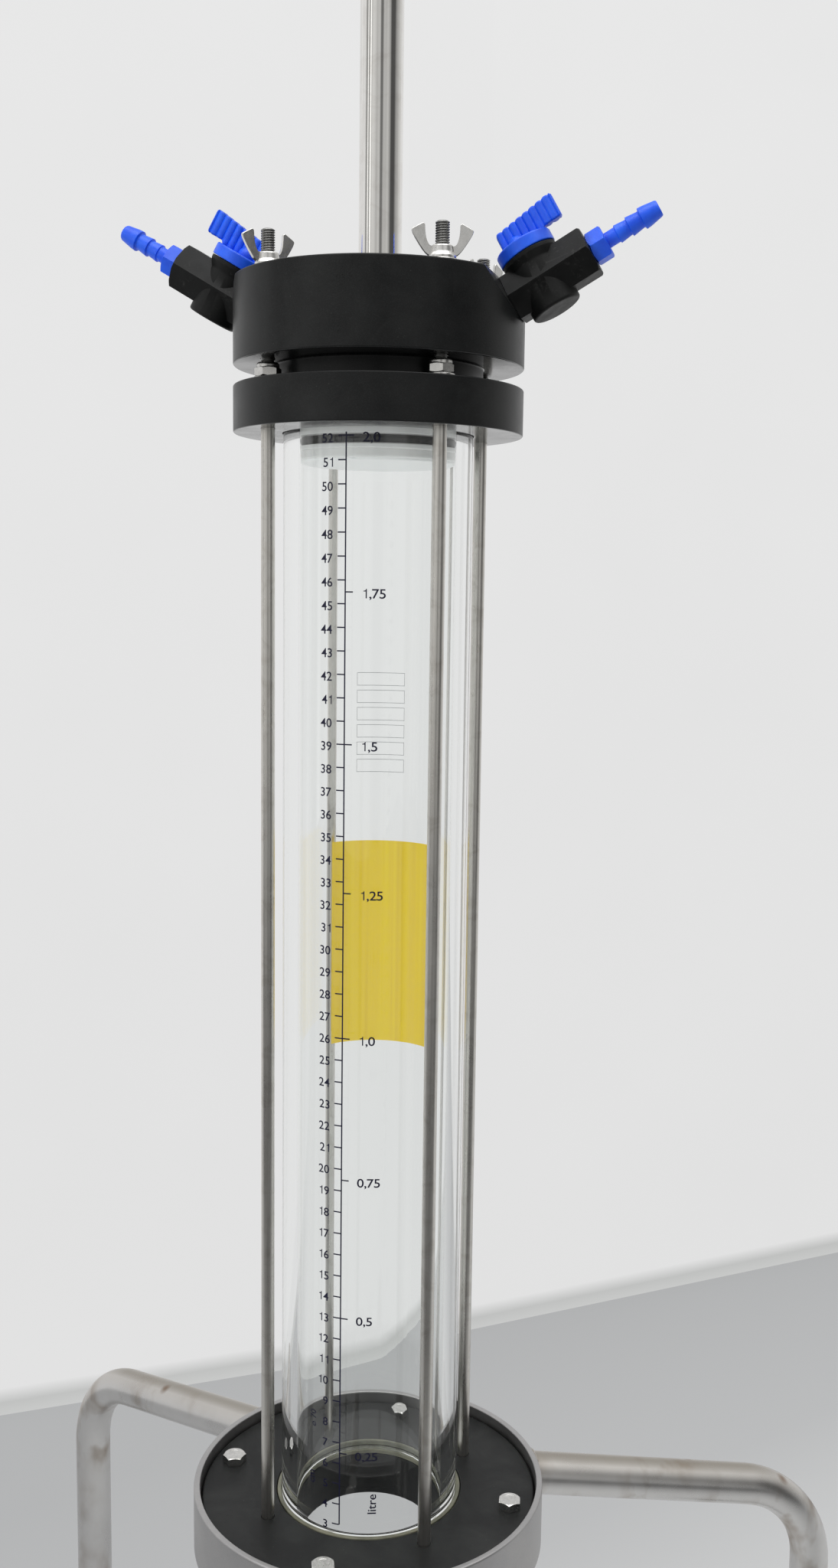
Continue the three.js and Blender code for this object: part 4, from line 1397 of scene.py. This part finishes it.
def stage_paint(name, colour, glow):
    """Partly self-lit paint, invisible from behind."""
    mat = material(name)
    base = colour(mat)
    lit = mat.principled(Base_Color=base, Roughness=0.7)
    emission = mat.out("Emission", Color=base)
    face = mat.out("MixShader", glow, lit, emission)
    clear = mat.out("BsdfTransparent")
    return mat.finish(mat.out("MixShader", mat.geometry("Backfacing"), face, clear))


def wall_colour(mat):
    """Pale wall, darker at its foot and faintly blotched."""
    z = mat.xyz()[2]
    low = mat.ramp(mat.remap(z, span=(0.0, 0.022)),
                   [(0.0, srgb(204, 205, 204)), (0.45, srgb(196, 197, 196)),
                    (1.0, srgb(230, 230, 230))])
    brighten = mat.ramp(mat.remap(z, span=(0.1, 1.1)), [(0.0, 0.985), (1.0, 1.03)])
    blotches = mat.remap(mat.noise(scale=3.0, detail=4.0), span=(0.35, 0.7), to=(1.0, 0.98))
    return mat.mix(1.0, mat.mix(1.0, low, brighten, "MULTIPLY"), blotches, "MULTIPLY")


def floor_colour(mat):
    """Pale floor, shaded from one side; reflections see its near part dark."""
    x, y, _ = mat.xyz()
    across = mat.remap(mat.add(mat.mul(x, 0.75), mat.mul(y, -0.65)), span=(-0.45, 0.0))
    shade = mat.ramp(across, [(0.0, srgb(178, 179, 180)), (0.5, srgb(186, 187, 188)),
                              (1.0, srgb(212, 213, 213))])
    depth = mat.add(mat.mul(x, BACK.x), mat.mul(y, BACK.y))
    rays = mat.out_all("LightPath")
    mirrored = mat.mul(rays["Is Glossy Ray"], mat.sub(1.0, rays["Is Transmission Ray"]))
    near = mat.remap(depth, span=(-0.45, 0.0), to=(1.0, 0.0))
    return mat.mix(mat.mul(near, mirrored), shade, (0.12, 0.12, 0.12))


def stage_sheet(name, quads, paint):
    points = [((x + ORIGIN[0]) / 1000, (y + ORIGIN[1]) / 1000, z / 1000)
              for quad in quads for x, y, z in quad]
    faces = [list(range(4 * i, 4 * i + 4)) for i in range(len(quads))]
    ob = add_object(name, points, faces)
    ob.data.materials.append(paint)


def build_surroundings():
    """Pale floor, and a wall that turns a corner behind the object."""
    wall = [[(*a, STAGE_Z), (*b, STAGE_Z), (*b, 3200), (*a, 3200)]
            for a, b in zip(WALL_LINE, WALL_LINE[1:])]
    stage_sheet("wall", wall, stage_paint("wall_paint", wall_colour, glow=0.93))
    half = 3000
    floor = [(-half, -half, STAGE_Z), (half, -half, STAGE_Z), (half, half, STAGE_Z),
             (-half, half, STAGE_Z)]
    stage_sheet("floor", [floor], stage_paint("floor_paint", floor_colour, glow=0.75))


def build_world():
    world = bpy.data.worlds.new("room")
    bpy.context.scene.world = world
    room = Nodes(world, coords="Generated", output="OutputWorld")
    x, y, z = room.xyz()
    front = room.add(room.mul(x, FRONT.x), room.mul(y, FRONT.y))
    right = room.add(room.mul(x, RIGHT.x), room.mul(y, RIGHT.y))
    angle = room.math("ARCTAN2", right, front)
    turn = room.add(room.mul(angle, 1 / (2 * math.pi)), 0.5)
    # between the ends, the levels are very slightly warm
    stops = [(at, (level, level, level * 0.985)) for at, level in ROOM]
    stops[0], stops[-1] = ROOM[0], ROOM[-1]
    horizon = room.ramp(turn, stops)
    overhead = room.remap(z, span=(0.35, 0.75))
    colour = room.mix(overhead, horizon, (0.95, 0.95, 0.94))
    # the camera, and in part the view through glass, see a plain backdrop
    rays = room.out_all("LightPath")
    through = room.mul(rays["Is Transmission Ray"], 0.6)
    plain = room.math("MAXIMUM", rays["Is Camera Ray"], through)
    colour = room.mix(plain, colour, (0.90, 0.90, 0.90))
    room.finish(room.out("Background", Color=colour, Strength=0.85))


def area_light(name, offset, width, height, energy):
    """Rectangular light aimed at the middle of the column; metres and watts."""
    centre = Vector((AXIS_X, AXIS_Y, 0.55))
    light = bpy.data.lights.new(name, "AREA")
    light.shape = "RECTANGLE"
    light.size, light.size_y = width, height
    light.energy = energy
    ob = bpy.data.objects.new(name, light)
    bpy.context.scene.collection.objects.link(ob)
    place = centre + offset
    ob.location = place
    ob.rotation_euler = (centre - place).to_track_quat("-Z", "Y").to_euler()
    return ob


def build_lights():
    area_light("ceiling", FRONT * 0.5 + Vector((0, 0, 1.9)), width=2.2, height=1.4, energy=22)
    window = area_light("left_window", FRONT * 1.2 - RIGHT * 1.6 + Vector((0, 0, 0.6)),
                        width=1.0, height=1.6, energy=12)
    window.visible_glossy = False
    window.visible_transmission = False


def set_render():
    scene = bpy.context.scene
    scene.view_settings.view_transform = "Standard"
    scene.view_settings.look = "None"
    scene.view_settings.exposure = 0.0
    scene.view_settings.gamma = 1.0
    scene.cycles.use_denoising = True
    scene.cycles.max_bounces = 16
    scene.cycles.transmission_bounces = 14
    scene.cycles.transparent_max_bounces = 16
    scene.cycles.glossy_bounces = 6
    scene.cycles.caustics_reflective = False
    scene.cycles.caustics_refractive = False


build_stand()
build_base()
build_clamp_flange()
build_lid()
build_tube()
build_rods()
build_base_bolts()
build_valves()
build_adaptor()
build_scale()
build_label()
build_boxes()
dress_cad()
build_camera()
build_surroundings()
build_world()
build_lights()
set_render()
